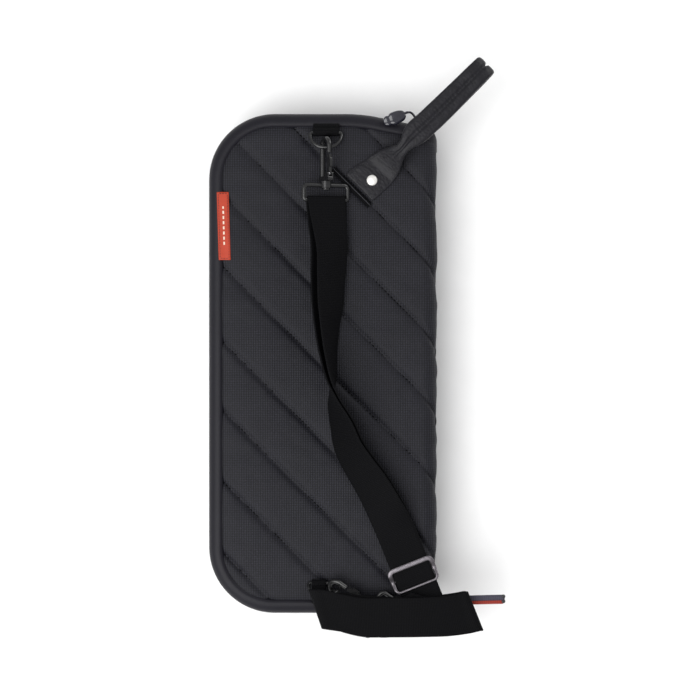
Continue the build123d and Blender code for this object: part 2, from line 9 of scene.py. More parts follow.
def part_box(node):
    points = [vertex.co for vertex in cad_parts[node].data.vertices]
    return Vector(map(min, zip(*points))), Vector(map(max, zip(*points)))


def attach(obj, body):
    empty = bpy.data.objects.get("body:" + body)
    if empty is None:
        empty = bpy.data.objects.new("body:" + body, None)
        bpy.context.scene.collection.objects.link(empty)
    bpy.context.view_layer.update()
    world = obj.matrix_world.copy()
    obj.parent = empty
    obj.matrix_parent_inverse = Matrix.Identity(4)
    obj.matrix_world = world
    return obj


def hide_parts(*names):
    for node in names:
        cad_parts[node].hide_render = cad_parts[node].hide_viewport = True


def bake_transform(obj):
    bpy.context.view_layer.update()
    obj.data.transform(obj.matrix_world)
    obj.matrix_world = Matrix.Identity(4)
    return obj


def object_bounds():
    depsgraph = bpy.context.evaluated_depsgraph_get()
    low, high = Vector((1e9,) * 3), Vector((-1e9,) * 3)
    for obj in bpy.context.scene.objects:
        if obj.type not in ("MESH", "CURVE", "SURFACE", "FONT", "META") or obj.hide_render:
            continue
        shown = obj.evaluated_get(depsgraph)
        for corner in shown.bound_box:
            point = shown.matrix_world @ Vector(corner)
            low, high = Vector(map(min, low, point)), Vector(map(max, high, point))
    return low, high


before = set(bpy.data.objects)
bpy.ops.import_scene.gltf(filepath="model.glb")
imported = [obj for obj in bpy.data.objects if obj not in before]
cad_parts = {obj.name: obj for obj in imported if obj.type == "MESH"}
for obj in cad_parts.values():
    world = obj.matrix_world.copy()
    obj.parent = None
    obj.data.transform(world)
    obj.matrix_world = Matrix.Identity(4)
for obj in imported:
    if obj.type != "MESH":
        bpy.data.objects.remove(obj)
cadLow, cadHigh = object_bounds()
mm = 0.001
print("frame loaded,", len(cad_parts), "CAD nodes")

# camera straight above the bag, with +Y up the picture
viewpoint = {"lens": 100.0, "sensor": 36.0, "across": 0.679, "x": 0.0272, "y": 0.0121}


def makeCamera():
    data = bpy.data.cameras.new("camera")
    data.lens, data.sensor_width = viewpoint["lens"], viewpoint["sensor"]
    camera = bpy.data.objects.new("camera", data)
    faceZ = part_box("front_panel")[1].z
    height = faceZ + viewpoint["across"] * viewpoint["lens"] / viewpoint["sensor"]
    camera.location = (viewpoint["x"], viewpoint["y"], height)
    bpy.context.scene.collection.objects.link(camera)
    bpy.context.scene.camera = camera


# one big overhead softbox from the lower left, which shades one side of every quilted groove,
# with a weak key from the upper right and a weak fill
lights = {
    "overhead": {"at": (-0.8, -0.55, 2.0), "size": 1.9, "watts": 46.0},
    "key": {"at": (1.0, 1.1, 0.6), "size": 0.5, "watts": 6.0},
    "fill": {"at": (-1.3, -1.2, 1.3), "size": 1.2, "watts": 8.0},
    "skyStrength": 0.6,
}


def makeLights():
    for name in ("overhead", "key", "fill"):
        spec = lights[name]
        data = bpy.data.lights.new(name, "AREA")
        data.size, data.energy = spec["size"], spec["watts"]
        lamp = bpy.data.objects.new(name, data)
        lamp.location = spec["at"]
        toBag = Vector((0.02, 0, 0.05)) - lamp.location
        lamp.rotation_euler = toBag.to_track_quat("-Z", "Y").to_euler()
        bpy.context.scene.collection.objects.link(lamp)
    world = bpy.data.worlds.new("studio")
    bpy.context.scene.world = world
    world.use_nodes = True
    sky = world.node_tree.nodes["Background"]
    sky.inputs["Color"].default_value = (1.0, 1.0, 1.0, 1.0)
    sky.inputs["Strength"].default_value = lights["skyStrength"]
    bpy.context.scene.view_settings.view_transform = "Standard"


# ---- materials

def hexColour(text):
    parts = [int(text[i:i + 2], 16) / 255 for i in (0, 2, 4)]
    linear = [c / 12.92 if c <= 0.04045 else ((c + 0.055) / 1.055) ** 2.4 for c in parts]
    return (*linear, 1.0)


def addNode(tree, kind, settings=None, values=None, links=None):
    made = tree.nodes.new("ShaderNode" + kind)
    for key, value in (settings or {}).items():
        setattr(made, key, value)
    for key, value in (values or {}).items():
        made.inputs[key].default_value = value
    for key, source in (links or {}).items():
        tree.links.new(source, made.inputs[key])
    return made


def startMaterial(name, values):
    material = bpy.data.materials.new(name)
    material.use_nodes = True
    tree = material.node_tree
    shader = tree.nodes["Principled BSDF"]
    for key, value in values.items():
        shader.inputs[key].default_value = value
    return material, tree, shader


def wovenCloth(spec):
    # warp runs across U and weft along V, both in metres on the cloth
    material, tree, shader = startMaterial(spec["name"], spec["shader"])
    place = addNode(tree, "UVMap")
    sides = addNode(tree, "SeparateXYZ", links={0: place.outputs["UV"]})
    waves = []
    for axis, pitch in ((0, spec["warp"]), (1, spec["weft"])):
        turns = addNode(tree, "Math", {"operation": "MULTIPLY"}, {1: 2 * math.pi / (pitch * mm)},
                        {0: sides.outputs[axis]})
        waves.append(addNode(tree, "Math", {"operation": "SINE"}, links={0: turns.outputs[0]}))
    crossing = addNode(tree, "Math", {"operation": "MULTIPLY"},
                       links={0: waves[0].outputs[0], 1: waves[1].outputs[0]})
    height = addNode(tree, "Math", {"operation": "MULTIPLY"}, {1: spec["mix"][2] * 0.5},
                     {0: crossing.outputs[0]})
    for wave, share in zip(waves, spec["mix"]):
        height = addNode(tree, "Math", {"operation": "MULTIPLY_ADD"}, {1: share * 0.5},
                         {0: wave.outputs[0], 2: height.outputs[0]})
    slub = addNode(tree, "TexNoise", values={"Scale": 1 / (spec["slub"] * mm), "Detail": 3.0},
                   links={"Vector": place.outputs["UV"]})
    broad = addNode(tree, "TexNoise", values={"Scale": 1 / (38 * mm), "Detail": 2.0},
                    links={"Vector": place.outputs["UV"]})
    thread = addNode(tree, "Math", {"operation": "ADD", "use_clamp": True}, {1: 0.5},
                     {0: height.outputs[0]})
    mottle = addNode(tree, "Math", {"operation": "MULTIPLY"},
                     links={0: slub.outputs["Fac"], 1: thread.outputs[0]})
    tone = addNode(tree, "Mix", {"data_type": "RGBA"},
                   {6: hexColour(spec["low"]), 7: hexColour(spec["high"])},
                   {0: mottle.outputs[0]})
    worn = addNode(tree, "Mix", {"data_type": "RGBA", "blend_type": "MULTIPLY"},
                   {0: spec["fade"], 7: (1, 1, 1, 1)}, {6: tone.outputs[2], 7: broad.outputs["Fac"]})
    tree.links.new(worn.outputs[2], shader.inputs["Base Color"])
    relief = addNode(tree, "Math", {"operation": "MULTIPLY_ADD"}, {1: 0.35},
                     {0: slub.outputs["Fac"], 2: height.outputs[0]})
    bump = addNode(tree, "Bump", values={"Strength": spec["strength"], "Distance": spec["depth"] * mm},
                   links={"Height": relief.outputs[0]})
    tree.links.new(bump.outputs[0], shader.inputs["Normal"])
    return material


def clothShader(roughness, sheen, tint="8f8fa0", gloss=0.3):
    return {"Roughness": roughness, "Sheen Weight": sheen, "Sheen Roughness": 0.45,
            "Sheen Tint": hexColour(tint), "Specular IOR Level": gloss}


# quilted cover: coarse plain-woven nylon with a coated back; it shows a square grid of
# slightly blue threads. The real threads are about 1 mm apart; they are drawn at 2.3 mm to show
quiltNylon = wovenCloth({
    "name": "coarse_plain_woven_nylon", "low": "08080b", "high": "34343f", "warp": 2.3, "weft": 2.3,
    "mix": (0.75, 0.5, 0.25), "slub": 1.6, "strength": 0.6, "depth": 0.35, "fade": 0.35,
    "shader": clothShader(0.62, 0.03, "9a98b4", gloss=0.22)})
# bands and the spine's end walls: tight smooth nylon, satin slate with a fine grain
bandNylon = wovenCloth({
    "name": "smooth_tight_woven_nylon", "low": "121117", "high": "26252e", "warp": 1.1, "weft": 1.3,
    "mix": (0.3, 0.35, 0.35), "slub": 2.2, "strength": 0.35, "depth": 0.12, "fade": 0.3,
    "shader": clothShader(0.5, 0.024, gloss=0.2)})
# lining: light woven taffeta, flat and slightly shiny
liningTaffeta = wovenCloth({
    "name": "woven_polyester_taffeta", "low": "1c1c20", "high": "34343a", "warp": 0.8, "weft": 0.8,
    "mix": (0.2, 0.2, 0.6), "slub": 3.0, "strength": 0.3, "depth": 0.1, "fade": 0.25,
    "shader": clothShader(0.48, 0.018)})
# binding: grosgrain tape, cross ribs that catch the light
grosgrain = wovenCloth({
    "name": "grosgrain_binding_tape", "low": "08080a", "high": "1e1e23", "warp": 6.0, "weft": 1.2,
    "mix": (0.05, 0.9, 0.05), "slub": 1.5, "strength": 0.7, "depth": 0.3, "fade": 0.2,
    "shader": clothShader(0.6, 0.024, gloss=0.15)})
# elastic: knitted over rubber, deeper ribs that run along it
ribbedElastic = wovenCloth({
    "name": "ribbed_knitted_elastic", "low": "08080a", "high": "1c1c22", "warp": 1.0, "weft": 2.2,
    "mix": (0.2, 0.75, 0.25), "slub": 1.5, "strength": 0.8, "depth": 0.4, "fade": 0.2,
    "shader": clothShader(0.65, 0.036, gloss=0.12)})
# zip tape: warp-knitted polyester, tiny lengthwise chains
zipTape = wovenCloth({
    "name": "warp_knitted_zip_tape", "low": "0a0a0c", "high": "1c1c20", "warp": 1.3, "weft": 1.6,
    "mix": (0.5, 0.2, 0.3), "slub": 1.2, "strength": 0.6, "depth": 0.2, "fade": 0.2,
    "shader": clothShader(0.6, 0.024)})
# shoulder webbing: heavy ribbed nylon, matt black with cross ribs 1.6 mm apart
webbing = wovenCloth({
    "name": "heavy_woven_nylon_webbing", "low": "060607", "high": "18181b", "warp": 2.6, "weft": 1.6,
    "mix": (0.2, 0.6, 0.3), "slub": 1.4, "strength": 0.75, "depth": 0.35, "fade": 0.25,
    "shader": clothShader(0.66, 0.0216, "7d7d84", gloss=0.05)})
# tail of the zip: grey-blue tape faced with orange
tailTape = wovenCloth({
    "name": "grey_woven_tape", "low": "2a2834", "high": "5a5768", "warp": 1.5, "weft": 1.8,
    "mix": (0.4, 0.5, 0.2), "slub": 1.2, "strength": 0.7, "depth": 0.25, "fade": 0.2,
    "shader": clothShader(0.6, 0.036)})
tailFacing = wovenCloth({
    "name": "orange_woven_facing", "low": "7a1f13", "high": "b83f2a", "warp": 1.5, "weft": 1.8,
    "mix": (0.4, 0.5, 0.2), "slub": 1.2, "strength": 0.7, "depth": 0.25, "fade": 0.2,
    "shader": clothShader(0.6, 0.036, "e0a080")})
# bonded polyester sewing thread: small twisted highlights
thread = wovenCloth({
    "name": "bonded_polyester_thread", "low": "121216", "high": "44444c", "warp": 0.4, "weft": 0.8,
    "mix": (0.1, 0.8, 0.1), "slub": 0.8, "strength": 0.5, "depth": 0.1, "fade": 0.2,
    "shader": clothShader(0.45, 0.012)})

# quilting thread: matt black, pulled tight; its rows also paint the crease shade as a thin dark line in each
# groove
quiltThreadAndCreaseShade = wovenCloth({
    "name": "black_quilting_thread_and_painted_crease_shade", "low": "030304", "high": "0c0c0f", "warp": 0.4, "weft": 0.8,
    "mix": (0.1, 0.8, 0.1), "slub": 0.8, "strength": 0.5, "depth": 0.1, "fade": 0.2,
    "shader": clothShader(0.8, 0.0, gloss=0.05)})


def labelSatin():
    # orange damask-woven label: satin ground with one plain woven dashed line
    material, tree, shader = startMaterial("damask_woven_satin_label", clothShader(0.5, 0.042, "ffb090"))
    place = addNode(tree, "UVMap")
    sides = addNode(tree, "SeparateXYZ", links={0: place.outputs["UV"]})
    ribs = addNode(tree, "Math", {"operation": "MULTIPLY"}, {1: 2 * math.pi / (1.2 * mm)},
                   {0: sides.outputs[1]})
    fine = addNode(tree, "Math", {"operation": "SINE"}, links={0: ribs.outputs[0]})
    bars = addNode(tree, "Math", {"operation": "MULTIPLY"}, {1: 2 * math.pi / (5 * mm)},
                   {0: sides.outputs[1]})
    dash = addNode(tree, "Math", {"operation": "SINE"}, links={0: bars.outputs[0]})
    offLine = addNode(tree, "Math", {"operation": "SUBTRACT"}, {1: 5.8 * mm}, {0: sides.outputs[0]})
    away = addNode(tree, "Math", {"operation": "ABSOLUTE"}, links={0: offLine.outputs[0]})
    onLine = addNode(tree, "Math", {"operation": "LESS_THAN"}, {1: 0.75 * mm}, {0: away.outputs[0]})
    offMiddle = addNode(tree, "Math", {"operation": "SUBTRACT"}, {1: 33 * mm}, {0: sides.outputs[1]})
    alongAway = addNode(tree, "Math", {"operation": "ABSOLUTE"}, links={0: offMiddle.outputs[0]})
    inMiddle = addNode(tree, "Math", {"operation": "LESS_THAN"}, {1: 19 * mm},
                       {0: alongAway.outputs[0]})
    isDash = addNode(tree, "Math", {"operation": "GREATER_THAN"}, {1: -0.25}, {0: dash.outputs[0]})
    lineMark = addNode(tree, "Math", {"operation": "MULTIPLY"},
                       links={0: onLine.outputs[0], 1: inMiddle.outputs[0]})
    mark = addNode(tree, "Math", {"operation": "MULTIPLY"},
                   links={0: lineMark.outputs[0], 1: isDash.outputs[0]})
    ground = addNode(tree, "Mix", {"data_type": "RGBA"},
                     {6: hexColour("b23a20"), 7: hexColour("93301a")}, {0: fine.outputs[0]})
    striped = addNode(tree, "Mix", {"data_type": "RGBA"}, {7: hexColour("d8c9b8")},
                      {0: mark.outputs[0], 6: ground.outputs[2]})
    tree.links.new(striped.outputs[2], shader.inputs["Base Color"])
    bump = addNode(tree, "Bump", values={"Strength": 0.5, "Distance": 0.15 * mm},
                   links={"Height": fine.outputs[0]})
    tree.links.new(bump.outputs[0], shader.inputs["Normal"])
    return material


def pebbledLeather():
    # chrome-tanned cowhide, embossed pebble grain: soft cells with a waxy shine on their tops
    material, tree, shader = startMaterial("pebbled_chrome_tanned_leather", {
        "Roughness": 0.5, "Specular IOR Level": 0.22, "Coat Weight": 0.03, "Coat Roughness": 0.35})
    place = addNode(tree, "UVMap")
    cells = addNode(tree, "TexVoronoi", {"feature": "SMOOTH_F1"}, {"Scale": 1 / (2.1 * mm)},
                    {"Vector": place.outputs["UV"]})
    creases = addNode(tree, "TexNoise", values={"Scale": 1 / (5.5 * mm), "Detail": 5.0},
                      links={"Vector": place.outputs["UV"]})
    tone = addNode(tree, "Mix", {"data_type": "RGBA"},
                   {6: hexColour("08080b"), 7: hexColour("1f1e24")}, {0: creases.outputs["Fac"]})
    tree.links.new(tone.outputs[2], shader.inputs["Base Color"])
    relief = addNode(tree, "Math", {"operation": "MULTIPLY_ADD"}, {1: 0.7},
                     {0: creases.outputs["Fac"], 2: cells.outputs["Distance"]})
    bump = addNode(tree, "Bump", values={"Strength": 0.8, "Distance": 0.5 * mm},
                   links={"Height": relief.outputs[0]})
    tree.links.new(bump.outputs[0], shader.inputs["Normal"])
    return material


def hardFinish(name, low, high, shaderValues, grainMm, stretch, depthMm, strength):
    # metal or plastic whose tone and surface vary over grains of a given size
    material, tree, shader = startMaterial(name, shaderValues)
    place = addNode(tree, "TexCoord")
    drawn = addNode(tree, "Mapping", values={"Scale": stretch}, links={0: place.outputs["Object"]})
    grain = addNode(tree, "TexNoise", values={"Scale": 1 / (grainMm * mm), "Detail": 4.0},
                    links={"Vector": drawn.outputs[0]})
    tone = addNode(tree, "Mix", {"data_type": "RGBA"}, {6: hexColour(low), 7: hexColour(high)},
                   {0: grain.outputs["Fac"]})
    tree.links.new(tone.outputs[2], shader.inputs["Base Color"])
    bump = addNode(tree, "Bump", values={"Strength": strength, "Distance": depthMm * mm},
                   links={"Height": grain.outputs["Fac"]})
    tree.links.new(bump.outputs[0], shader.inputs["Normal"])
    return material


labelCloth = labelSatin()
leather = pebbledLeather()
# die-cast zinc with black gloss enamel: hard bright reflections, faint orange peel
blackEnamel = hardFinish("gloss_enamelled_zinc", "060607", "121214",
                         {"Roughness": 0.34, "Coat Weight": 0.22, "Coat Roughness": 0.14},
                         2.5, (1, 1, 1), 0.05, 0.25)
# gunmetal plating over brushed steel: grey with fine streaks along the bar
gunmetal = hardFinish("gunmetal_plated_steel", "5c585c", "837f84",
                      {"Metallic": 1.0, "Roughness": 0.42}, 1.2, (1, 4, 1), 0.04, 0.3)
# bright nickel on a brass rivet cap, almost white
nickel = hardFinish("bright_nickel_plate", "e2e0dc", "f6f5f1",
                    {"Metallic": 0.55, "Roughness": 0.4}, 1.5, (1, 1, 1), 0.03, 0.2)
# hard-drawn spring wire, drawn smooth
springSteel = hardFinish("hard_drawn_spring_wire", "77777a", "a5a5a8",
                         {"Metallic": 1.0, "Roughness": 0.3}, 0.8, (1, 1, 1), 0.02, 0.2)
# nylon coil, extruded: dark with a soft gloss
nylonCoil = hardFinish("extruded_nylon_coil", "0d0d0f", "1c1c20",
                       {"Roughness": 0.35, "IOR": 1.53}, 1.0, (1, 1, 1), 0.03, 0.2)
# injection-moulded soft PVC: deep purple-black with a wet highlight
softPvc = hardFinish("injection_moulded_soft_pvc", "15151d", "282833",
                     {"Roughness": 0.2, "IOR": 1.53, "Coat Weight": 0.3, "Coat Roughness": 0.1},
                     3.0, (1, 1, 1), 0.08, 0.3)
# matt studio paper
floorPaper = hardFinish("matt_white_paper", "f0f0f0", "f6f6f6", {"Roughness": 0.9}, 30, (1, 1, 1),
                        0.05, 0.1)


def makeFloor():
    mesh = bpy.data.meshes.new("floor")
    mesh.from_pydata([(-4, -4, 0), (4, -4, 0), (4, 4, 0), (-4, 4, 0)], [], [(0, 1, 2, 3)])
    floor = bpy.data.objects.new("floor", mesh)
    floor.location.z = cadLow.z - 0.4 * mm
    mesh.materials.append(floorPaper)
    bpy.context.scene.collection.objects.link(floor)


makeCamera()
makeLights()
makeFloor()
print("camera, lights, floor and finishes made")

# ---- mesh helpers

def surface(name, points, uvs, material, closeRows=False, closeCols=False, capped=False):
    # a grid of rows x columns x 3 points becomes one smooth piece with its own UVs in metres
    rows, cols = points.shape[:2]
    r, c = np.meshgrid(np.arange(rows if closeRows else rows - 1),
                       np.arange(cols if closeCols else cols - 1), indexing="ij")
    corners = [(r, c), (r + 1, c), (r + 1, c + 1), (r, c + 1)]
    faces = np.stack([(a % rows) * cols + b % cols for a, b in corners], axis=-1).reshape(-1, 4)
    spots = np.stack([uvs[a, b] for a, b in corners], axis=-2).reshape(-1, 2)
    mesh = bpy.data.meshes.new(name)
    mesh.from_pydata(points.reshape(-1, 3).tolist(), [], faces.tolist())
    layer = mesh.uv_layers.new(name="UVMap")
    layer.data.foreach_set("uv", spots.ravel())
    if capped:
        bm = bmesh.new()
        bm.from_mesh(mesh)
        bmesh.ops.holes_fill(bm, edges=[e for e in bm.edges if e.is_boundary], sides=0)
        bmesh.ops.recalc_face_normals(bm, faces=bm.faces)
        bm.to_mesh(mesh)
        bm.free()
    mesh.polygons.foreach_set("use_smooth", [True] * len(mesh.polygons))
    mesh.materials.append(material)
    piece = bpy.data.objects.new(name, mesh)
    bpy.context.scene.collection.objects.link(piece)
    return piece


def unit(vectors):
    return vectors / np.maximum(np.linalg.norm(vectors, axis=-1, keepdims=True), 1e-12)


def lengthAlong(line):
    return np.concatenate([[0], np.cumsum(np.linalg.norm(np.diff(line[:, :3], axis=0), axis=1))])


def smoothStations(stations, step):
    # smooth curve through every column of the stations, evenly spaced along the first three
    p = np.array(stations, float)
    t = lengthAlong(p)
    m = np.gradient(p, t, axis=0)
    at = np.linspace(0, t[-1], max(2, round(t[-1] / step) + 1))
    i = np.clip(np.searchsorted(t, at, side="right") - 1, 0, len(t) - 2)
    h = (t[i + 1] - t[i])[:, None]
    u = (at - t[i])[:, None] / h
    return ((2 * u**3 - 3 * u**2 + 1) * p[i] + (u**3 - 2 * u**2 + u) * h * m[i]
            + (3 * u**2 - 2 * u**3) * p[i + 1] + (u**3 - u**2) * h * m[i + 1])


def thicken(piece, thickness):
    # cloth thickness, added on the inner side of the surface
    shell = piece.modifiers.new("thickness", "SOLIDIFY")
    shell.thickness = thickness
    shell.offset = -1.0


def ribbonSection(width, thick):
    # rounded flat section, a little fuller at its two selvedges
    flatHalf = width / 2 - thick / 2
    across = np.linspace(-flatHalf, flatHalf, 15)
    swell = thick / 2 * (1 + 0.16 * np.exp(-((flatHalf - abs(across)) / (2.2 * mm)) ** 2))
    turn = np.radians([60, 30, 0, -30, -60])
    endAcross = flatHalf + thick / 2 * np.cos(turn)
    endUp = thick / 2 * np.sin(turn)
    a = np.concatenate([across, endAcross, across[::-1], -endAcross])
    b = np.concatenate([swell, endUp, -swell, -endUp])
    return a, b


def ribbon(name, line, across, width, thick, material, body, square=True):
    # webbing along a line; square keeps its section at right angles to the line
    tangent = unit(np.gradient(line, axis=0))
    if square:
        across = unit(across - tangent * (across * tangent).sum(1, keepdims=True))
    normal = unit(np.cross(across, tangent))
    a, b = ribbonSection(width, thick)
    points = (line[:, None] + across[:, None] * a[None, :, None] + normal[:, None] * b[None, :, None])
    run = lengthAlong(line)
    u = np.append(a, a[0])
    uvs = np.stack(np.broadcast_arrays(u[None, :], run[:, None]), axis=-1)
    piece = surface(name, points, uvs, material, closeCols=True, capped=True)
    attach(piece, body)
    return piece


def tube(name, line, radius, material, around=12):
    # round cord or wire along a line of points, closed at both ends
    tangent = unit(np.gradient(line, axis=0))
    side = unit(np.cross(tangent, np.array([0.31, 0.17, 0.93])))
    up = np.cross(side, tangent)
    angle = np.linspace(0, 2 * math.pi, around, endpoint=False)
    ring = np.cos(angle)[None, :, None] * side[:, None] + np.sin(angle)[None, :, None] * up[:, None]
    size = np.broadcast_to(np.asarray(radius, float), len(line))
    points = line[:, None] + ring * size[:, None, None]
    u = np.linspace(0, 1, around + 1) * 2 * math.pi * size.max()
    uvs = np.stack(np.broadcast_arrays(u[None, :], lengthAlong(line)[:, None]), axis=-1)
    return surface(name, points, uvs, material, closeCols=True, capped=True)


def lathe(name, profile, centre, material, around=48):
    # (radius, height) pairs turned about the vertical through the centre
    angle = np.linspace(0, 2 * math.pi, around, endpoint=False)
    prof = np.array(profile) * mm
    points = np.stack([prof[:, :1] * np.cos(angle) + centre[0], prof[:, :1] * np.sin(angle) + centre[1],
                       np.repeat(prof[:, 1:], around, axis=1)], axis=-1)
    u = np.linspace(0, 1, around + 1) * 2 * math.pi * prof[:, 0].max()
    along = lengthAlong(np.c_[prof, prof[:, 0] * 0])
    uvs = np.stack(np.broadcast_arrays(u[None, :], along[:, None]), axis=-1)
    return surface(name, points, uvs, material, closeCols=True, capped=True)


def joined(name, parts):
    # several meshes become one piece
    bm = bmesh.new()
    for part in parts:
        bm.from_mesh(part.data)
    mesh = parts[0].data.copy()
    bm.to_mesh(mesh)
    bm.free()
    mesh.name = name
    for part in parts:
        bpy.data.objects.remove(part)
    piece = bpy.data.objects.new(name, mesh)
    bpy.context.scene.collection.objects.link(piece)
    return piece


def stitches(name, line, outward, body, pitch=3.6, radius=0.32, blendTo=None, material=thread):
    # a row of sewn stitches: short thread capsules that dive into the cloth at both ends
    run = lengthAlong(line)
    count = int(run[-1] / (pitch * mm))
    starts = (np.arange(count) + 0.15) * pitch * mm
    ends = starts + 0.72 * pitch * mm
    angle = np.linspace(0, 2 * math.pi, 6, endpoint=False)
    points, faces, spots = [], [], []
    for low, high in zip(starts, ends):
        at = np.linspace(low, high, 5)
        middle = np.stack([np.interp(at, run, line[:, k]) for k in range(3)], axis=1)
        lift = unit(np.stack([np.interp(at, run, outward[:, k]) for k in range(3)], axis=1))
        side = unit(np.cross(lift, middle[-1] - middle[0]))
        bow = np.array([-0.5, 0.35, 0.6, 0.35, -0.5]) * radius * mm
        size = np.array([0.35, 0.9, 1.0, 0.9, 0.35]) * radius * mm
        first = len(points)
        for k in range(5):
            for a in angle:
                points.append(middle[k] + lift[k] * (bow[k] + size[k] * math.sin(a))
                              + side[k] * size[k] * math.cos(a))
                spots.append((a * radius * mm, at[k]))
        for k in range(4):
            for j in range(6):
                a, b = first + k * 6 + j, first + k * 6 + (j + 1) % 6
                faces.append((a, b, b + 6, a + 6))
        faces.append(tuple(first + j for j in range(5, -1, -1)))
        faces.append(tuple(first + 24 + j for j in range(6)))
    mesh = bpy.data.meshes.new(name)
    mesh.from_pydata([tuple(p) for p in points], [], faces)
    layer = mesh.uv_layers.new(name="UVMap")
    index = np.zeros(len(mesh.loops), int)
    mesh.loops.foreach_get("vertex_index", index)
    layer.data.foreach_set("uv", np.array(spots)[index].ravel())
    mesh.polygons.foreach_set("use_smooth", [True] * len(mesh.polygons))
    mesh.materials.append(material)
    piece = bpy.data.objects.new(name, mesh)
    bpy.context.scene.collection.objects.link(piece)
    if blendTo:
        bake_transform(piece)
    else:
        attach(piece, body)
    return piece


def coat(material, *nodes):
    # CAD nodes whose shape is right keep it, and get this finish with smooth shading
    for name in nodes:
        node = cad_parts[name]
        if not node.data.materials:
            node.data.materials.append(material)
        for place in node.material_slots:
            place.link = "OBJECT"
            place.material = material
        node.data.polygons.foreach_set("use_smooth", [True] * len(node.data.polygons))
        weld = node.modifiers.new("weld", "WELD")
        weld.merge_threshold = 0.002 * mm
        split = node.modifiers.new("crisp edges", "EDGE_SPLIT")
        split.split_angle = math.radians(38)


# ---- the bag's closed shape, read from the frame

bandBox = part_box("front_gusset")
bag = {"left": bandBox[0].x, "top": bandBox[1].y, "bottom": bandBox[0].y,
       "spine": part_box("spine_panel")[1].x, "depth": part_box("front_panel")[1].z,
       "cornerR": 63 * mm, "slope": 0.205, "topSlopeX": 39 * mm, "bottomSlopeX": 50 * mm,
       "slopeR": 150 * mm, "spineCornerR": 15 * mm, "bendR": 14 * mm, "band": 11 * mm}
bendX = bag["spine"] - bag["bendR"]


def edgeY(x, inset, top):
    # height of the bag's outline over x, drawn in by inset
    side = 1 if top else -1
    straight = side * (bag["top"] if top else bag["bottom"])
    slopeX = bag["topSlopeX"] if top else bag["bottomSlopeX"]
    y = straight - np.maximum(x - slopeX, 0) * bag["slope"] - inset
    cornerX = bag["left"] + bag["cornerR"]
    r = bag["cornerR"] - inset
    inCorner = np.sqrt(np.maximum(r * r - np.minimum(x - cornerX, 0) ** 2, 0))
    return side * np.where(x < cornerX, straight - bag["cornerR"] + inCorner, y)


def seamDistance(x, y):
    # distance from the bag's outline, counted inward, over its three zipped sides
    cornerX = bag["left"] + bag["cornerR"]
    inner = x - bag["left"]
    lean = math.cos(math.atan(bag["slope"]))
    for top in (True, False):
        side = 1 if top else -1
        straight = side * (bag["top"] if top else bag["bottom"])
        slopeX = bag["topSlopeX"] if top else bag["bottomSlopeX"]
        up = side * y
        drop = straight - np.maximum(x - slopeX, 0) * bag["slope"] - up
        inner = np.minimum(inner, np.where(x > slopeX, drop * lean, drop))
        centreUp = straight - bag["cornerR"]
        away = bag["cornerR"] - np.hypot(x - cornerX, up - centreUp)
        inner = np.where((x < cornerX) & (up > centreUp), away, inner)
    return inner


def roundedRoute(corners, radii, step):
    # plan route with arcs at its corners: points and outward normals, evenly spaced
    line = [np.array(corners[0], float)]
    for i, radius in enumerate(radii, 1):
        here = np.array(corners[i], float)
        back, ahead = unit(np.array(corners[i - 1]) - here), unit(np.array(corners[i + 1]) - here)
        half = math.acos(np.clip(back @ ahead, -1, 1)) / 2
        centre = here + unit(back + ahead) * radius / math.sin(half)
        first = here + back * radius / math.tan(half) - centre
        last = here + ahead * radius / math.tan(half) - centre
        sweep = math.pi - 2 * half
        for share in np.linspace(0, 1, max(3, int(sweep * radius / step) + 2)):
            line.append(centre + (first * math.sin((1 - share) * sweep) + last * math.sin(share * sweep))
                        / math.sin(sweep))
    line.append(np.array(corners[-1], float))
    line = np.array(line)
    run = lengthAlong(np.c_[line, line[:, 0] * 0])
    at = np.linspace(0, run[-1], round(run[-1] / step) + 1)
    even = np.stack([np.interp(at, run, line[:, k]) for k in range(2)], axis=1)
    d = unit(np.gradient(even, axis=0))
    return even, np.stack([d[:, 1], -d[:, 0]], axis=1)


def outlineRoute(step, fromX):
    # round the zipped sides from the spine's top corner to its bottom one
    slope, spine = bag["slope"], bag["spine"]
    topAtSpine = bag["top"] - (spine - bag["topSlopeX"]) * slope
    lowAtSpine = bag["bottom"] + (spine - bag["bottomSlopeX"]) * slope
    corners = [(spine, topAtSpine - 21 * mm), (spine, topAtSpine), (bag["topSlopeX"], bag["top"]),
               (bag["left"], bag["top"]), (bag["left"], bag["bottom"]),
               (bag["bottomSlopeX"], bag["bottom"]), (spine, lowAtSpine), (spine, lowAtSpine + 21 * mm)]
    radii = [bag["spineCornerR"], bag["slopeR"], bag["cornerR"], bag["cornerR"], bag["slopeR"],
             bag["spineCornerR"]]
    route, outward = roundedRoute(corners, radii, step)
    if fromX is None:
        return route, outward
    kept = route[:, 0] < fromX
    return route[kept], outward[kept]


def grainNoise(x, y, sizeX, sizeY, seed):
    # smooth noise over the cloth, one bump every sizeX by sizeY
    flat = np.stack([x / sizeX, y / sizeY], axis=-1).reshape(-1, 2)
    values = [noise.noise(Vector((p[0], p[1], seed * 7.31))) for p in flat]
    return np.array(values).reshape(np.shape(x))


# ---- quilted cover

quilt = {"grooves": (-350, -281, -212, -143, -76, -3, 66, 131, 200, 269, 338, 407, 476, 545, 614, 683),
         "padding": 5.6 * mm, "crown": 0.9 * mm, "step": 2.0 * mm, "edgeInset": 9.4 * mm,
         "spineTop": 214.2 * mm, "spineBottom": -217.5 * mm, "pucker": 1.0 * mm, "wrinkle": 1.1 * mm}
grooveLines = np.array(quilt["grooves"]) * mm
wallHalf = bag["depth"] / 2 - bag["bendR"]
bendLen = bag["bendR"] * math.pi / 2


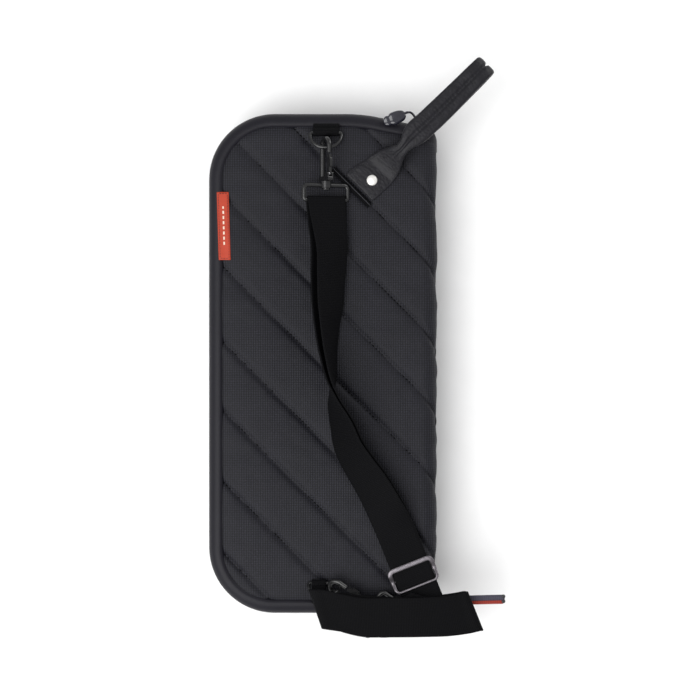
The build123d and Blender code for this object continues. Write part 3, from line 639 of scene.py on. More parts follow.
def quiltBase(s, upward):
    # the cover's section: half of the spine wall, the bend, then the flat face
    angle = np.clip((s - wallHalf) / bag["bendR"], 0, math.pi / 2)
    flat = np.maximum(s - wallHalf - bendLen, 0)
    x = bendX + bag["bendR"] * np.cos(angle) - flat
    rise = np.minimum(s, wallHalf) + bag["bendR"] * np.sin(angle)
    z = bag["depth"] / 2 + (rise if upward else -rise)
    nz = np.sin(angle) if upward else -np.sin(angle)
    return x, z, np.cos(angle), nz


def quiltRelief(s, y, x, upward):
    # how far the padded cloth stands above the stitched-down grooves
    spread = wallHalf + bendLen + bendX
    g = (spread - s if upward else spread + s) + y
    k = np.clip(np.searchsorted(grooveLines, g) - 1, 0, len(grooveLines) - 2)
    low, high = grooveLines[k], grooveLines[k + 1]
    u = (g - low) / (high - low)
    away = np.minimum(g - low, high - g) / math.sqrt(2)
    pillow = 0.6 * (1 - np.exp(-away / (1.7 * mm))) + 0.4 * np.sqrt(np.clip(4 * u * (1 - u), 0, 1))
    onFace = s > wallHalf + bendLen
    inside = np.where(onFace, seamDistance(x, y), bag["band"] + 30 * mm) - quilt["edgeInset"]
    ends = np.minimum(quilt["spineTop"] + 4 * mm - y, y - quilt["spineBottom"] + 4 * mm)
    inside = np.where(onFace, inside, np.maximum(ends, 0))
    inside = np.maximum(inside, 0)
    rim = 0.45 * (1 - np.exp(-inside / (2.2 * mm))) + 0.55 * np.sqrt(
        np.clip(inside / (24 * mm), 0, 1) * (2 - np.clip(inside / (24 * mm), 0, 1)))
    along = (x - y) / math.sqrt(2)
    seed = 1 if upward else 2
    pucker = np.exp(-away / (9 * mm)) * grainNoise(along, away, 8.5 * mm, 26 * mm, seed)
    soft = grainNoise(s, y, 75 * mm, 17 * mm, seed + 4)
    nearEdge = np.exp(-inside / (30 * mm)) + np.exp(-np.maximum(s - wallHalf, 0) / (45 * mm)) + 0.22
    small = grainNoise(s, y, 11 * mm, 8 * mm, seed + 8)
    relief = pillow * rim
    extra = quilt["pucker"] * pucker * (0.3 + 0.7 * rim) + quilt["wrinkle"] * soft * nearEdge * relief
    return quilt["crown"] - quilt["padding"] * (1 - relief) + extra + 0.3 * mm * small * relief


def quiltSheet(name, upward, nodes):
    seamX = bag["left"] + quilt["edgeInset"]
    r = bag["cornerR"] - quilt["edgeInset"]
    cornerXs = seamX + r * (1 - np.cos(np.linspace(0, math.pi / 2, 30)))
    flatXs = np.arange(cornerXs[-1] + quilt["step"], bendX, quilt["step"])
    flatS = wallHalf + bendLen + bendX - np.concatenate([cornerXs, flatXs])[::-1]
    s = np.concatenate([np.arange(0, wallHalf + bendLen, quilt["step"] * 0.8), flatS])
    x, z, nx, nz = quiltBase(s, upward)
    over = np.clip((s - wallHalf) / bendLen, 0, 1)
    high = np.where(s < wallHalf + bendLen,
                    quilt["spineTop"] + (edgeY(bendX, quilt["edgeInset"], True) - quilt["spineTop"]) * over,
                    edgeY(x, quilt["edgeInset"], True))
    low = np.where(s < wallHalf + bendLen,
                   quilt["spineBottom"] + (edgeY(bendX, quilt["edgeInset"], False)
                                           - quilt["spineBottom"]) * over,
                   edgeY(x, quilt["edgeInset"], False))
    share = np.linspace(0, 1, round((bag["top"] - bag["bottom"]) / quilt["step"]))
    y = low[:, None] + (high - low)[:, None] * share
    s2 = np.repeat(s[:, None], len(share), axis=1)
    x2 = np.repeat(x[:, None], len(share), axis=1)
    relief = quiltRelief(s2, y, x2, upward)
    points = np.stack([x2 + nx[:, None] * relief, y, z[:, None] + nz[:, None] * relief], axis=-1)
    uvs = np.stack([s2 if upward else -s2, y], axis=-1)
    if upward:
        points, uvs = points[::-1], uvs[::-1]
    else:
        # the back lies flat on whatever the bag rests on
        points[..., 2] = np.maximum(points[..., 2], 0)
    piece = surface(name, points, uvs, quiltNylon)
    thicken(piece, 1.1 * mm)
    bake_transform(piece)
    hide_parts(*nodes)


quiltSheet("front_quilt", True, ["front_panel", "spine_panel"])
quiltSheet("back_quilt", False, ["back_panel"])
print("quilted cover made")


def quiltPoint(x, y, upward):
    # a place on the quilted face, for what is sewn or laid on it
    x, y = np.asarray(x, float), np.asarray(y, float)
    s = wallHalf + bendLen + bendX - x
    relief = quiltRelief(s, y, x, upward)
    z = bag["depth"] + relief if upward else -relief
    return np.stack([x, y, z], axis=-1)


def quiltStitching():
    # a row of stitches down every groove of the flat faces, thick and near-black so they also paint the
    # groove's shade
    for upward, body in ((True, "front_cover"), (False, "back_shell")):
        lines = []
        for groove in grooveLines:
            offset = groove if upward else groove - 2 * (wallHalf + bendLen + bendX)
            x = np.arange(bag["left"], bendX, 1.5 * mm)
            y = offset - x if upward else offset + x
            keep = (seamDistance(x, y) > bag["band"] + 1 * mm) & (x < bendX)
            if keep.sum() > 6:
                lines.append(quiltPoint(x[keep], y[keep], upward))
        rows = []
        for i, line in enumerate(lines):
            outward = np.tile([0, 0, 1.0 if upward else -1.0], (len(line), 1))
            # partly real quilting thread, partly painted shade standing in for the shadowed crease
            rows.append(stitches(f"row{i}", line + outward * 0.3 * mm, outward, body, pitch=4.2,
                                 radius=0.75, material=quiltThreadAndCreaseShade))
        name = "front_quilt_stitching" if upward else "back_quilt_stitching"
        piece = joined(name, rows)
        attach(piece, body)


quiltStitching()
print("quilting stitches made")

# ---- rolled band round the zipped edge, its seams and the zip

band = {"seamDip": 2.4 * mm, "flatDrop": 1.2 * mm, "round": 9.3 * mm, "hem": 2.4 * mm,
        "frontHeight": 17.4 * mm, "backHeight": 35.4 * mm}


def bandProfile(height):
    # (inset, drop below the face) from the sewn seam over the rolled edge to the zip's hem
    arc = np.radians(np.linspace(90, 0, 12))
    inset = [bag["band"] + 1.6 * mm, bag["band"] + 0.4 * mm, bag["band"] - 0.5 * mm]
    drop = [band["seamDip"] + 1.6 * mm, band["seamDip"], band["flatDrop"] + 0.25 * mm]
    inset += list(band["round"] * (1 - np.cos(arc)))
    drop += list(band["flatDrop"] + band["round"] * (1 - np.sin(arc)))
    inset += [0.0, 0.05 * mm, 0.3 * mm, 0.9 * mm, 1.9 * mm, band["hem"]]
    drop += [height - tuck * mm for tuck in (2.6, 1.4, 0.6, 0.1, 0.3, 1.2)]
    return np.array(inset), np.array(drop)


def gussetBand(name, upward, body, node):
    route, outward = outlineRoute(1.8 * mm, None)
    height = band["frontHeight"] if upward else band["backHeight"]
    inset, drop = bandProfile(height)
    # the band narrows by about half where it turns onto the spine
    onSpine = np.clip((route[:, 0] - bendX) / (bag["spine"] - bendX), 0, 1)
    narrow = 1 - 0.45 * onSpine
    ripple = grainNoise(lengthAlong(np.c_[route, route[:, 0] * 0]), route[:, 0] * 0, 34 * mm, 1.0, 3)
    depthIn = inset[None, :] * narrow[:, None]
    xy = route[:, None] - outward[:, None] * depthIn[..., None]
    belly = np.sin(np.clip(drop / (height - 2.6 * mm), 0, 1) * math.pi)
    sag = 0.45 * mm * ripple[:, None] * belly[None, :]
    fall = np.repeat(drop[None, :], len(route), axis=0) + abs(sag)
    x = np.clip(xy[..., 0] - bendX, 0, bag["bendR"])
    # there it also sinks from just above the bend to just under the quilt
    sink = np.interp(x, [0, 5 * mm], [-0.8 * mm, 2.2 * mm])
    overBend = bag["bendR"] - np.sqrt(np.maximum(bag["bendR"] ** 2 - x**2, 0)) + sink
    fall = np.maximum(fall, np.where(xy[..., 0] > bendX, overBend, fall * 0))
    fall = np.minimum(fall, height)
    z = bag["depth"] - fall if upward else fall
    points = np.concatenate([xy, z[..., None]], axis=-1)
    run = lengthAlong(np.c_[route, route[:, 0] * 0])
    across = np.concatenate([[0], np.cumsum(np.hypot(np.diff(inset), np.diff(drop)))])
    uvs = np.stack(np.broadcast_arrays(run[:, None], across[None, :]), axis=-1)
    if not upward:
        points, uvs = points[:, ::-1], uvs[:, ::-1]
    piece = surface(name, points, uvs, bandNylon)
    thicken(piece, 1.2 * mm)
    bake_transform(piece)
    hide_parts(node)
    side = 1.0 if upward else -1.0
    for label, at, lean in (("edge", 3.1 * mm, 0.55), ("seam", bag["band"] - 1.4 * mm, 0.9),
                            ("hem", 0.0, 0.0)):
        keep = route[:, 0] < bendX - 4 * mm
        sink = (np.interp(at, inset[14:2:-1], drop[14:2:-1]) if label != "hem" else height - 2.2 * mm)
        level = bag["depth"] - sink if upward else sink
        line = np.c_[route[keep] - outward[keep] * at, np.full(keep.sum(), level)]
        out = unit(np.c_[outward[keep] * (1 - lean) * 1.2, np.full(keep.sum(), side * lean)])
        row = stitches(f"{name}_{label}_stitching", line + out * 0.12 * mm, out, body, pitch=3.4)
    return piece


gussetBand("front_band", True, "front_cover", "front_gusset")
gussetBand("back_band", False, "back_shell", "back_gusset")


def spineEnds():
    # the little wall that closes each end of the spine between the two halves' bands
    parts = []
    for top in (True, False):
        route, outward = outlineRoute(1.2 * mm, None)
        keep = (route[:, 0] > 95.5 * mm) & ((route[:, 1] > 0) == top)
        wall, out = route[keep], outward[keep]
        heights = np.linspace(bag["bendR"] - 1.5 * mm, bag["depth"] - bag["bendR"] + 1.5 * mm, 24)
        tuck = 0.35 * mm + 0.5 * mm * np.cos((heights - bag["depth"] / 2) / (9 * mm)) ** 2
        xy = wall[:, None] - out[:, None] * tuck[None, :, None]
        z = np.repeat(heights[None, :], len(wall), axis=0)
        run = lengthAlong(np.c_[wall, wall[:, 0] * 0])
        uvs = np.stack(np.broadcast_arrays(run[:, None], heights[None, :]), axis=-1)
        part = surface(f"spineEnd{top}", np.concatenate([xy, z[..., None]], axis=-1), uvs, bandNylon)
        parts.append(part)
    piece = joined("spine_end_walls", parts)
    thicken(piece, 1.6 * mm)
    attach(piece, "spine")
    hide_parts("spine_ends")


spineEnds()

zipper = {"middle": 42 * mm, "gap": 0.8 * mm, "tapeHeight": 12.2 * mm, "tapeInset": 3.8 * mm,
          "toothPitch": 1.7 * mm, "endX": 96 * mm}


def zipHalf(side, body, prefix):
    route, outward = outlineRoute(2.0 * mm, zipper["endX"])
    heights = zipper["middle"] + side * (zipper["gap"] + np.linspace(0, zipper["tapeHeight"], 9))
    bow = 0.25 * mm * np.sin(np.linspace(0, math.pi, 9))
    xy = route[:, None] - outward[:, None] * (zipper["tapeInset"] - bow)[None, :, None]
    z = np.repeat(heights[None, :], len(route), axis=0)
    run = lengthAlong(np.c_[route, route[:, 0] * 0])
    uvs = np.stack(np.broadcast_arrays(run[:, None], heights[None, :]), axis=-1)
    tape = surface(f"{prefix}_zip_ribbon", np.concatenate([xy, z[..., None]], axis=-1), uvs, zipTape)
    thicken(tape, 0.8 * mm)
    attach(tape, body)
    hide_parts(f"{prefix}_zip_tape")
    # each coil turn is a small bent loop whose head reaches towards the other half
    at = np.arange(0.5 * zipper["toothPitch"] + (0.5 * zipper["toothPitch"] if side > 0 else 0),
                   run[-1], zipper["toothPitch"])
    loop = np.array([(0.0, 2.6), (0.9, 2.5), (1.6, 1.9), (1.9, 0.8), (1.7, -0.5), (1.0, -1.0),
                     (0.2, -0.7), (0.0, 0.2)]) * mm
    angle = np.linspace(0, 2 * math.pi, 6, endpoint=False)
    points, faces = [], []
    for d in at:
        p = np.array([np.interp(d, run, route[:, k]) for k in range(2)])
        n = unit(np.array([np.interp(d, run, outward[:, k]) for k in range(2)]))
        t = np.array([n[1], -n[0]])
        first = len(points)
        for i, (out, up) in enumerate(loop):
            ahead = loop[min(i + 1, 7)] - loop[max(i - 1, 0)]
            ahead = ahead / np.hypot(*ahead)
            for a in angle:
                o = out + 0.42 * mm * math.sin(a) * ahead[1]
                u = up - 0.42 * mm * math.sin(a) * ahead[0]
                base = p - n * (zipper["tapeInset"] - 0.3 * mm - o) + t * 0.42 * mm * math.cos(a)
                points.append((base[0], base[1], zipper["middle"] + side * (zipper["gap"] + u)))
        for i in range(7):
            for j in range(6):
                a, b = first + i * 6 + j, first + i * 6 + (j + 1) % 6
                faces.append((a, b, b + 6, a + 6))
        faces.append(tuple(first + j for j in range(5, -1, -1)))
        faces.append(tuple(first + 42 + j for j in range(6)))
    mesh = bpy.data.meshes.new(f"{prefix}_zip_coil")
    mesh.from_pydata(points, [], faces)
    mesh.polygons.foreach_set("use_smooth", [True] * len(mesh.polygons))
    mesh.materials.append(nylonCoil)
    coil = bpy.data.objects.new(f"{prefix}_zip_coil", mesh)
    bpy.context.scene.collection.objects.link(coil)
    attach(coil, body)
    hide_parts(f"{prefix}_zip_teeth")


zipHalf(1, "front_cover", "front")
zipHalf(-1, "back_shell", "back")
print("bands, spine ends and zip made")

# ---- inside: linings, stick sleeve, keeper and cover pocket

inside = {"inset": 13.5 * mm, "backZ": 7.4 * mm, "frontZ": 58.9 * mm, "wrinkle": 0.5 * mm}


def liningSheet(name, z, body, node, seed):
    x = np.concatenate([bag["left"] + inside["inset"] + (bag["cornerR"] - inside["inset"])
                        * (1 - np.cos(np.linspace(0, math.pi / 2, 20))),
                        np.arange(bag["left"] + bag["cornerR"] + 4 * mm, 96 * mm, 4 * mm)])
    share = np.linspace(0, 1, 110)
    low, high = edgeY(x, inside["inset"], False), edgeY(x, inside["inset"], True)
    y = low[:, None] + (high - low)[:, None] * share
    x2 = np.repeat(x[:, None], len(share), axis=1)
    crease = (grainNoise(x2, y, 55 * mm, 20 * mm, seed) + 0.5 * grainNoise(x2, y, 18 * mm, 14 * mm, seed + 1))
    points = np.stack([x2, y, z + inside["wrinkle"] * crease], axis=-1)
    piece = surface(name, points, np.stack([x2, y], axis=-1), liningTaffeta)
    thicken(piece, 0.7 * mm)
    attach(piece, body)
    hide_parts(node)


liningSheet("back_lining_cloth", inside["backZ"], "back_shell", "back_lining", 21)
liningSheet("front_lining_cloth", inside["frontZ"], "front_cover", "front_lining", 27)


def spineLining():
    low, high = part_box("spine_lining")
    y = np.linspace(low.y, high.y, 120)
    z = np.linspace(low.z, high.z, 14)
    y2, z2 = np.meshgrid(y, z, indexing="ij")
    x = (low.x + high.x) / 2 + 0.4 * mm * grainNoise(y2, z2, 30 * mm, 16 * mm, 31)
    piece = surface("spine_lining_cloth", np.stack([x, y2, z2], axis=-1),
                    np.stack([z2, y2], axis=-1), liningTaffeta)
    thicken(piece, 0.7 * mm)
    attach(piece, "spine")
    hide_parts("spine_lining")


spineLining()

sleeve = {"left": -88 * mm, "channels": 4, "width": 38 * mm, "rise": 12.4 * mm, "floor": 8.4 * mm}


def channelSection(rise, perChannel=18):
    # sewn feet with soft arches between them: (x, z, length along the cloth)
    share = np.linspace(0, sleeve["channels"], sleeve["channels"] * perChannel + 1)
    x = sleeve["left"] + sleeve["width"] * share
    arch = np.sqrt(np.clip(np.sin((share % 1) * math.pi), 0, 1))
    z = sleeve["floor"] + rise * arch
    return x, z, lengthAlong(np.c_[x, z, x * 0])


def archedCloth(name, y, rise, lift, material, nodes, thickness):
    x, z, along = channelSection(rise)
    y2, x2 = np.meshgrid(y, x, indexing="ij")
    sag = 0.5 * mm * grainNoise(x2, y2, 16 * mm, 40 * mm, 41) * (z[None, :] > sleeve["floor"] + 2 * mm)
    z2 = np.repeat(z[None, :], len(y), axis=0) + lift + sag
    uvs = np.stack(np.broadcast_arrays(along[None, :], y[:, None]), axis=-1)
    piece = surface(name, np.stack([x2, y2, z2], axis=-1), uvs, material)
    thicken(piece, thickness)
    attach(piece, "back_shell")
    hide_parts(*nodes)


sleeveNodes = sorted(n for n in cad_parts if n.startswith("stick_sleeve"))
sleeveLow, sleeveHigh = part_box(sleeveNodes[0])
bindLow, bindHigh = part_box("sleeve_binding")
keepLow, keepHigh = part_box("stick_keeper")
archedCloth("stick_sleeve_cloth", np.linspace(sleeveLow.y + 2 * mm, sleeveHigh.y, 70), sleeve["rise"], 0,
            liningTaffeta, sleeveNodes, 0.8 * mm)
archedCloth("sleeve_top_binding", np.linspace(bindLow.y, bindHigh.y, 6), sleeve["rise"], 0.5 * mm,
            grosgrain, ["sleeve_binding"], 1.6 * mm)
archedCloth("stick_keeper_elastic", np.linspace(keepLow.y, keepHigh.y, 12), 8.0 * mm, 0.3 * mm,
            ribbedElastic, ["stick_keeper"], 1.2 * mm)


def coverPocket():
    # a flat pouch sewn on three sides inside the cover, slack at its open top
    low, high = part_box("cover_pocket")
    y = np.linspace(low.y, high.y, 70)
    half = (high.x - low.x) / 2
    share = np.linspace(-1, 1, 50)
    x = (low.x + high.x) / 2 + half * share
    y2, x2 = np.meshgrid(y, x, indexing="ij")
    fromSide = half - abs(x2 - (low.x + high.x) / 2)
    rim = np.minimum(fromSide, y2 - low.y)
    hang = (high.z - low.z - 0.6 * mm) * (1 - np.exp(-rim / (7 * mm)))
    hang = hang * (0.8 + 0.2 * (y2 - low.y) / (high.y - low.y))
    z2 = high.z - hang - 0.35 * mm * grainNoise(x2, y2, 40 * mm, 25 * mm, 51)
    z2 = np.clip(z2, low.z + 0.3 * mm, high.z)
    piece = surface("cover_pocket_cloth", np.stack([x2, y2, z2], axis=-1)[::-1],
                    np.stack([x2, y2], axis=-1)[::-1], liningTaffeta)
    thicken(piece, 0.8 * mm)
    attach(piece, "front_cover")
    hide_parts("cover_pocket")
    edge = np.stack([x, np.full(50, high.y + 3 * mm), z2[-1] - 0.5 * mm], axis=-1)
    across = np.tile([0, 1.0, 0], (50, 1))
    bind = ribbon("pocket_top_binding", edge, across, 8 * mm, 1.4 * mm, grosgrain, "front_cover")
    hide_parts("pocket_binding")


coverPocket()


def seamBinding(name, node, body):
    # tape folded over the seam allowance inside the edge
    low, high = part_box(node)
    route, outward = outlineRoute(4 * mm, 95 * mm)
    middle = route - outward * 9.8 * mm
    line = np.c_[middle, np.full(len(middle), (low.z + high.z) / 2)]
    across = np.c_[outward, np.zeros(len(outward))]
    piece = ribbon(name, line, across, 2.5 * mm, 1.3 * mm, grosgrain, body)
    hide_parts(node)


seamBinding("front_bound_seam", "front_seam_binding", "front_cover")
seamBinding("back_bound_seam", "back_seam_binding", "back_shell")
print("lining and pockets made")

# ---- label, rings and their tabs

def sideLabel():
    low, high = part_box("side_label")
    x, y = np.meshgrid(np.linspace(low.x, high.x, 14), np.linspace(low.y, high.y, 60), indexing="ij")
    across = (x - low.x) / (high.x - low.x) * 2 - 1
    ends = (y - low.y) / (high.y - low.y) * 2 - 1
    under = quiltPoint(x, y, True)[..., 2]
    laid = np.maximum(under, bag["depth"] - 0.6 * mm) + 0.9 * mm
    z = laid * 0.55 + (bag["depth"] + 1.3 * mm) * 0.45 - 0.35 * mm * across**6 - 0.3 * mm * ends**20
    lean = 1.0 * mm * ends
    piece = surface("orange_side_label", np.stack([x - lean, y, z], axis=-1),
                    np.stack([x - low.x, y - low.y], axis=-1), labelCloth)
    thicken(piece, 0.9 * mm)
    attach(piece, "front_cover")
    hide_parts("side_label")
    edge = 1.5 * mm
    inner = [(low.x + edge, low.y + edge), (high.x - edge, low.y + edge),
             (high.x - edge, high.y - edge), (low.x + edge, high.y - edge), (low.x + edge, low.y + edge)]
    rows = []
    for a, b in zip(inner, inner[1:]):
        t = np.linspace(0, 1, 40)[:, None]
        line = np.array([a]) * (1 - t) + np.array([b]) * t
        share = (line[:, 1] - low.y) / (high.y - low.y)
        height = np.interp(line[:, 1], y[7], z[7]) + 0.15 * mm
        line3 = np.c_[line[:, 0] - 1.0 * mm * (2 * share - 1), line[:, 1], height]
        rows.append(stitches("labelRow", line3, np.tile([0, 0, 1.0], (40, 1)), "front_cover", pitch=2.6,
                             radius=0.24))
    piece = joined("label_stitching", rows)
    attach(piece, "front_cover")


sideLabel()

ringTab = {"thick": 1.5 * mm}


def foldedTab(name, x, width, barY, seamY, node):
    # webbing from the seam, round the ring's bar and back into the seam
    out = 1 if seamY > barY else -1
    base = bag["depth"] / mm
    route = [(seamY, base + 0.7), (seamY - out * 4, base + 0.9), (barY + out * 2, base + 0.9),
             (barY - out * 1.2, base + 1.2), (barY - out * 2.7, base + 3.6), (barY - out * 1.4, base + 6.0),
             (barY + out * 0.6, base + 6.4), (barY + out * 3.5, base + 5.6), (seamY - out * 3, base + 3.6),
             (seamY, base + 2.4), (seamY + out * 1.6, base + 0.6)]
    line = smoothStations([(x / mm, y, z) for y, z in route], 0.8) * mm
    piece = ribbon(name, line, np.tile([1.0, 0, 0], (len(line), 1)), width, ringTab["thick"], webbing,
                   "front_cover")
    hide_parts(node)


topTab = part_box("top_ring_tab")
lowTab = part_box("bottom_ring_tab")
foldedTab("top_ring_webbing", (topTab[0].x + topTab[1].x) / 2, topTab[1].x - topTab[0].x, 222.5, 229.4,
          "top_ring_tab")
foldedTab("bottom_ring_webbing", (lowTab[0].x + lowTab[1].x) / 2, lowTab[1].x - lowTab[0].x, -213.5,
          -231.5, "bottom_ring_tab")
print("label and ring tabs made")

# ---- shoulder strap

strap = {"width": 38 * mm, "thick": 1.7 * mm, "glide": (88.7, -205.6), "glideWay": (0.37, -0.929),
         "webZ": 72.9, "bar": 4.0}
glideWay = unit(np.array(strap["glideWay"]))
# where the doubled run lies: x, y, roll in degrees and the gap between its plies, in mm
doubledRun = [
    (3.9, 156.7, 18, 6.2), (4.6, 145.0, 24, 7.0), (7.3, 109.1, 39, 9.0), (6.1, 82.0, 46, 9.0),
    (5.6, 54.8, 52, 8.0), (5.0, 34.4, 63, 7.0), (6.3, 7.3, 74, 5.5), (10.2, -21.8, 88, 4.0),
    (12.6, -36.4, 104, 3.6), (20.4, -59.7, 124, 3.8), (27.2, -82.0, 136, 4.0), (37.8, -100.4, 143, 4.0),
    (48.5, -116.9, 150, 4.2), (60.1, -138.2, 158, 4.4)]


def besideGlide(distance, z, roll, gap):
    return (strap["glide"][0] + glideWay[0] * distance, strap["glide"][1] + glideWay[1] * distance,
            z, roll, gap)


def strapStations():
    width, face = strap["width"] / mm, bag["depth"] / mm
    stations = []
    for x, y, roll, gap in doubledRun:
        turn = math.radians(roll)
        lift = width / 2 * math.sin(turn) + gap / 2 * abs(math.cos(turn)) + 0.8
        stations.append((x, y, face + 0.8 + lift, roll, gap))
    stations[0] = (*doubledRun[0][:2], 76.5, *doubledRun[0][2:])
    stations.append(besideGlide(-42, strap["webZ"] - 2.2, 176, 4.4))
    stations.append(besideGlide(-26, strap["webZ"] - 2.2, 180, 4.4))
    return stations


def rolledAcross(line, roll):
    along = unit(np.gradient(line, axis=0))
    level = unit(np.stack([along[:, 1], -along[:, 0], along[:, 0] * 0], axis=-1))
    turn = np.radians(roll)[:, None]
    across = level * np.cos(turn) + np.array([0, 0, 1.0]) * np.sin(turn)
    across = unit(across - along * (across * along).sum(1, keepdims=True))
    return across, unit(np.cross(across, along))


def upperStrap():
    # one length of webbing: up its lower ply, round the eye's bar, and down through the tri-glide
    smooth = smoothStations(strapStations(), 3.0)
    line, roll, gap = smooth[:, :3], smooth[:, 3], smooth[:, 4:5]
    across, out = rolledAcross(line, roll)
    front, back = line + out * gap / 2, line - out * gap / 2
    reach = strap["bar"] / 2 + 0.3 + strap["thick"] / mm / 2
    bar = line[0]
    turn = np.radians(np.linspace(12, 168, 12))[:, None]
    bight = bar + reach * (out[0] * np.cos(turn) + np.array([0, 1.0, 0]) * np.sin(turn))
    single = smoothStations([besideGlide(-26, strap["webZ"], 180, 0), besideGlide(-12, strap["webZ"], 180, 0),
                             besideGlide(0, strap["webZ"] - 0.6, 180, 0),
                             besideGlide(12, strap["webZ"] + 0.1, 180, 0),
                             besideGlide(20, strap["webZ"] + 1.0, 180, 0), besideGlide(27, 75.6, 180, 0),
                             besideGlide(34, 79.6, 180, 0), besideGlide(42, 82.2, 180, 0)], 3.0)
    singleAcross, _ = rolledAcross(single[:, :3], single[:, 3])
    lower = smoothStations([besideGlide(-26, strap["webZ"] - 4.4, 180, 0),
                            besideGlide(-14, 68.2, 180, 0), besideGlide(-2, 67.2, 180, 0)], 3.0)
    lowerAcross, _ = rolledAcross(lower[:, :3], lower[:, 3])
    whole = np.concatenate([lower[::-1, :3], front[::-1][1:], bight, back, single[1:, :3]]) * mm
    sides = np.concatenate([lowerAcross[::-1], across[::-1][1:], np.repeat(across[:1], 12, axis=0),
                            across, singleAcross[1:]])
    piece = ribbon("strap_doubled_run", whole, sides, strap["width"], strap["thick"], webbing,
                   "front_cover")
    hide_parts("strap_upper")
    rows = []
    for offset in (-15.5, 15.5):
        edge = (back[3:14] + across[3:14] * offset - out[3:14] * 0.95) * mm
        rows.append(stitches("strapRow", edge, -out[3:14], "front_cover", pitch=3.2, radius=0.4))
    sewn = joined("strap_stitching", rows)
    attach(sewn, "front_cover")


upperStrap()

# the spare length: x, y, z and the slant of its width, in mm; the ends are slanted folds
spareTop = [(148, -239.6, 78.9, 0.40), (146.4, -239.2, 81.2, 0.40), (138, -241.2, 82.0, 0.34),
            (122, -243.6, 84.0, 0.2), (95, -244.3, 87.0, 0.06), (60, -244.4, 88.4, 0.04),
            (40, -244.2, 88.6, 0.06), (20, -240.2, 88.7, 0.12), (6, -236.6, 88.8, 0.26),
            (-3.4, -236.2, 88.7, 0.31)]
spareMiddle = [(-5.6, -236.4, 87.0, 0.33), (-4.6, -237.0, 85.2, 0.36), (8, -238.6, 85.2, 0.26),
               (24, -240.4, 85.2, 0.12), (40, -242.0, 85.0, 0.06), (60, -243.9, 84.0, 0.05),
               (84, -244.6, 82.4, 0.05), (104, -245.0, 81.9, 0.05)]
spareLow = [(80, -245.6, 75.3, -0.1), (104, -244.4, 75.8, 0.08), (126, -242.2, 76.0, 0.28),
            (138, -240.6, 76.1, 0.36), (145.4, -239.4, 76.6, 0.40)]


def lowerStrap():
    swivel = np.array([44.1, -237.5, 75.7])
    axis = unit(np.array([-0.82, 0.57, 0]))
    bar = swivel - axis * 16.4
    reach = strap["bar"] / 2 + 0.3 + strap["thick"] / mm / 2
    side = np.array([axis[1], -axis[0], 0]) * -1
    turn = np.radians(np.linspace(80, -80, 10))
    bight = [bar + reach * (axis * math.cos(t) + np.array([0, 0, 1.0]) * math.sin(t)) for t in turn]
    tail = [bar - axis * 4 + np.array([0, 0, reach - 0.2])]
    under = [bar - axis * 3.5 + np.array([0, 0, -reach])]
    stations = [(*p, side[0], side[1]) for p in tail + bight + under]
    stations += [(x, y, z, slant, -1) for x, y, z, slant in spareLow + spareTop + spareMiddle]
    smooth = smoothStations(stations, 2.4)
    across = np.c_[smooth[:, 3:5], smooth[:, 3] * 0]
    piece = ribbon("strap_spare_length", smooth[:, :3] * mm, across, strap["width"], strap["thick"],
                   webbing, "front_cover", square=False)
    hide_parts("strap_lower")


lowerStrap()


def strapTurn():
    # the flat diagonal fold where the run from the tri-glide turns along the bag's end
    corners = np.array([(86, -221.5), (102, -226), (119, -229.5), (116, -240), (110, -262), (94, -263),
                        (79, -263), (78, -244), (78, -226)], float)
    middle = corners.mean(axis=0)
    shares = np.linspace(1, 0.05, 9)[:, None, None]
    rim = middle + (corners - middle) * shares
    z = np.full(rim.shape[:2], 82.4) + 0.5 * (1 - shares[..., 0])
    points = np.concatenate([rim, z[..., None]], axis=-1) * mm
    uvs = np.concatenate([points[..., :2], points[:, :1, :2]], axis=1)
    piece = surface("strap_corner_fold", points, uvs, webbing, closeCols=True, capped=False)
    thicken(piece, 1.6 * mm)
    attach(piece, "front_cover")


strapTurn()
print("shoulder strap made")

# ---- tri-glide

glide = {"width": 43.0, "pitch": 11.0, "barZ": 69.2, "wire": (5.0, 2.4), "cornerR": 4.5}


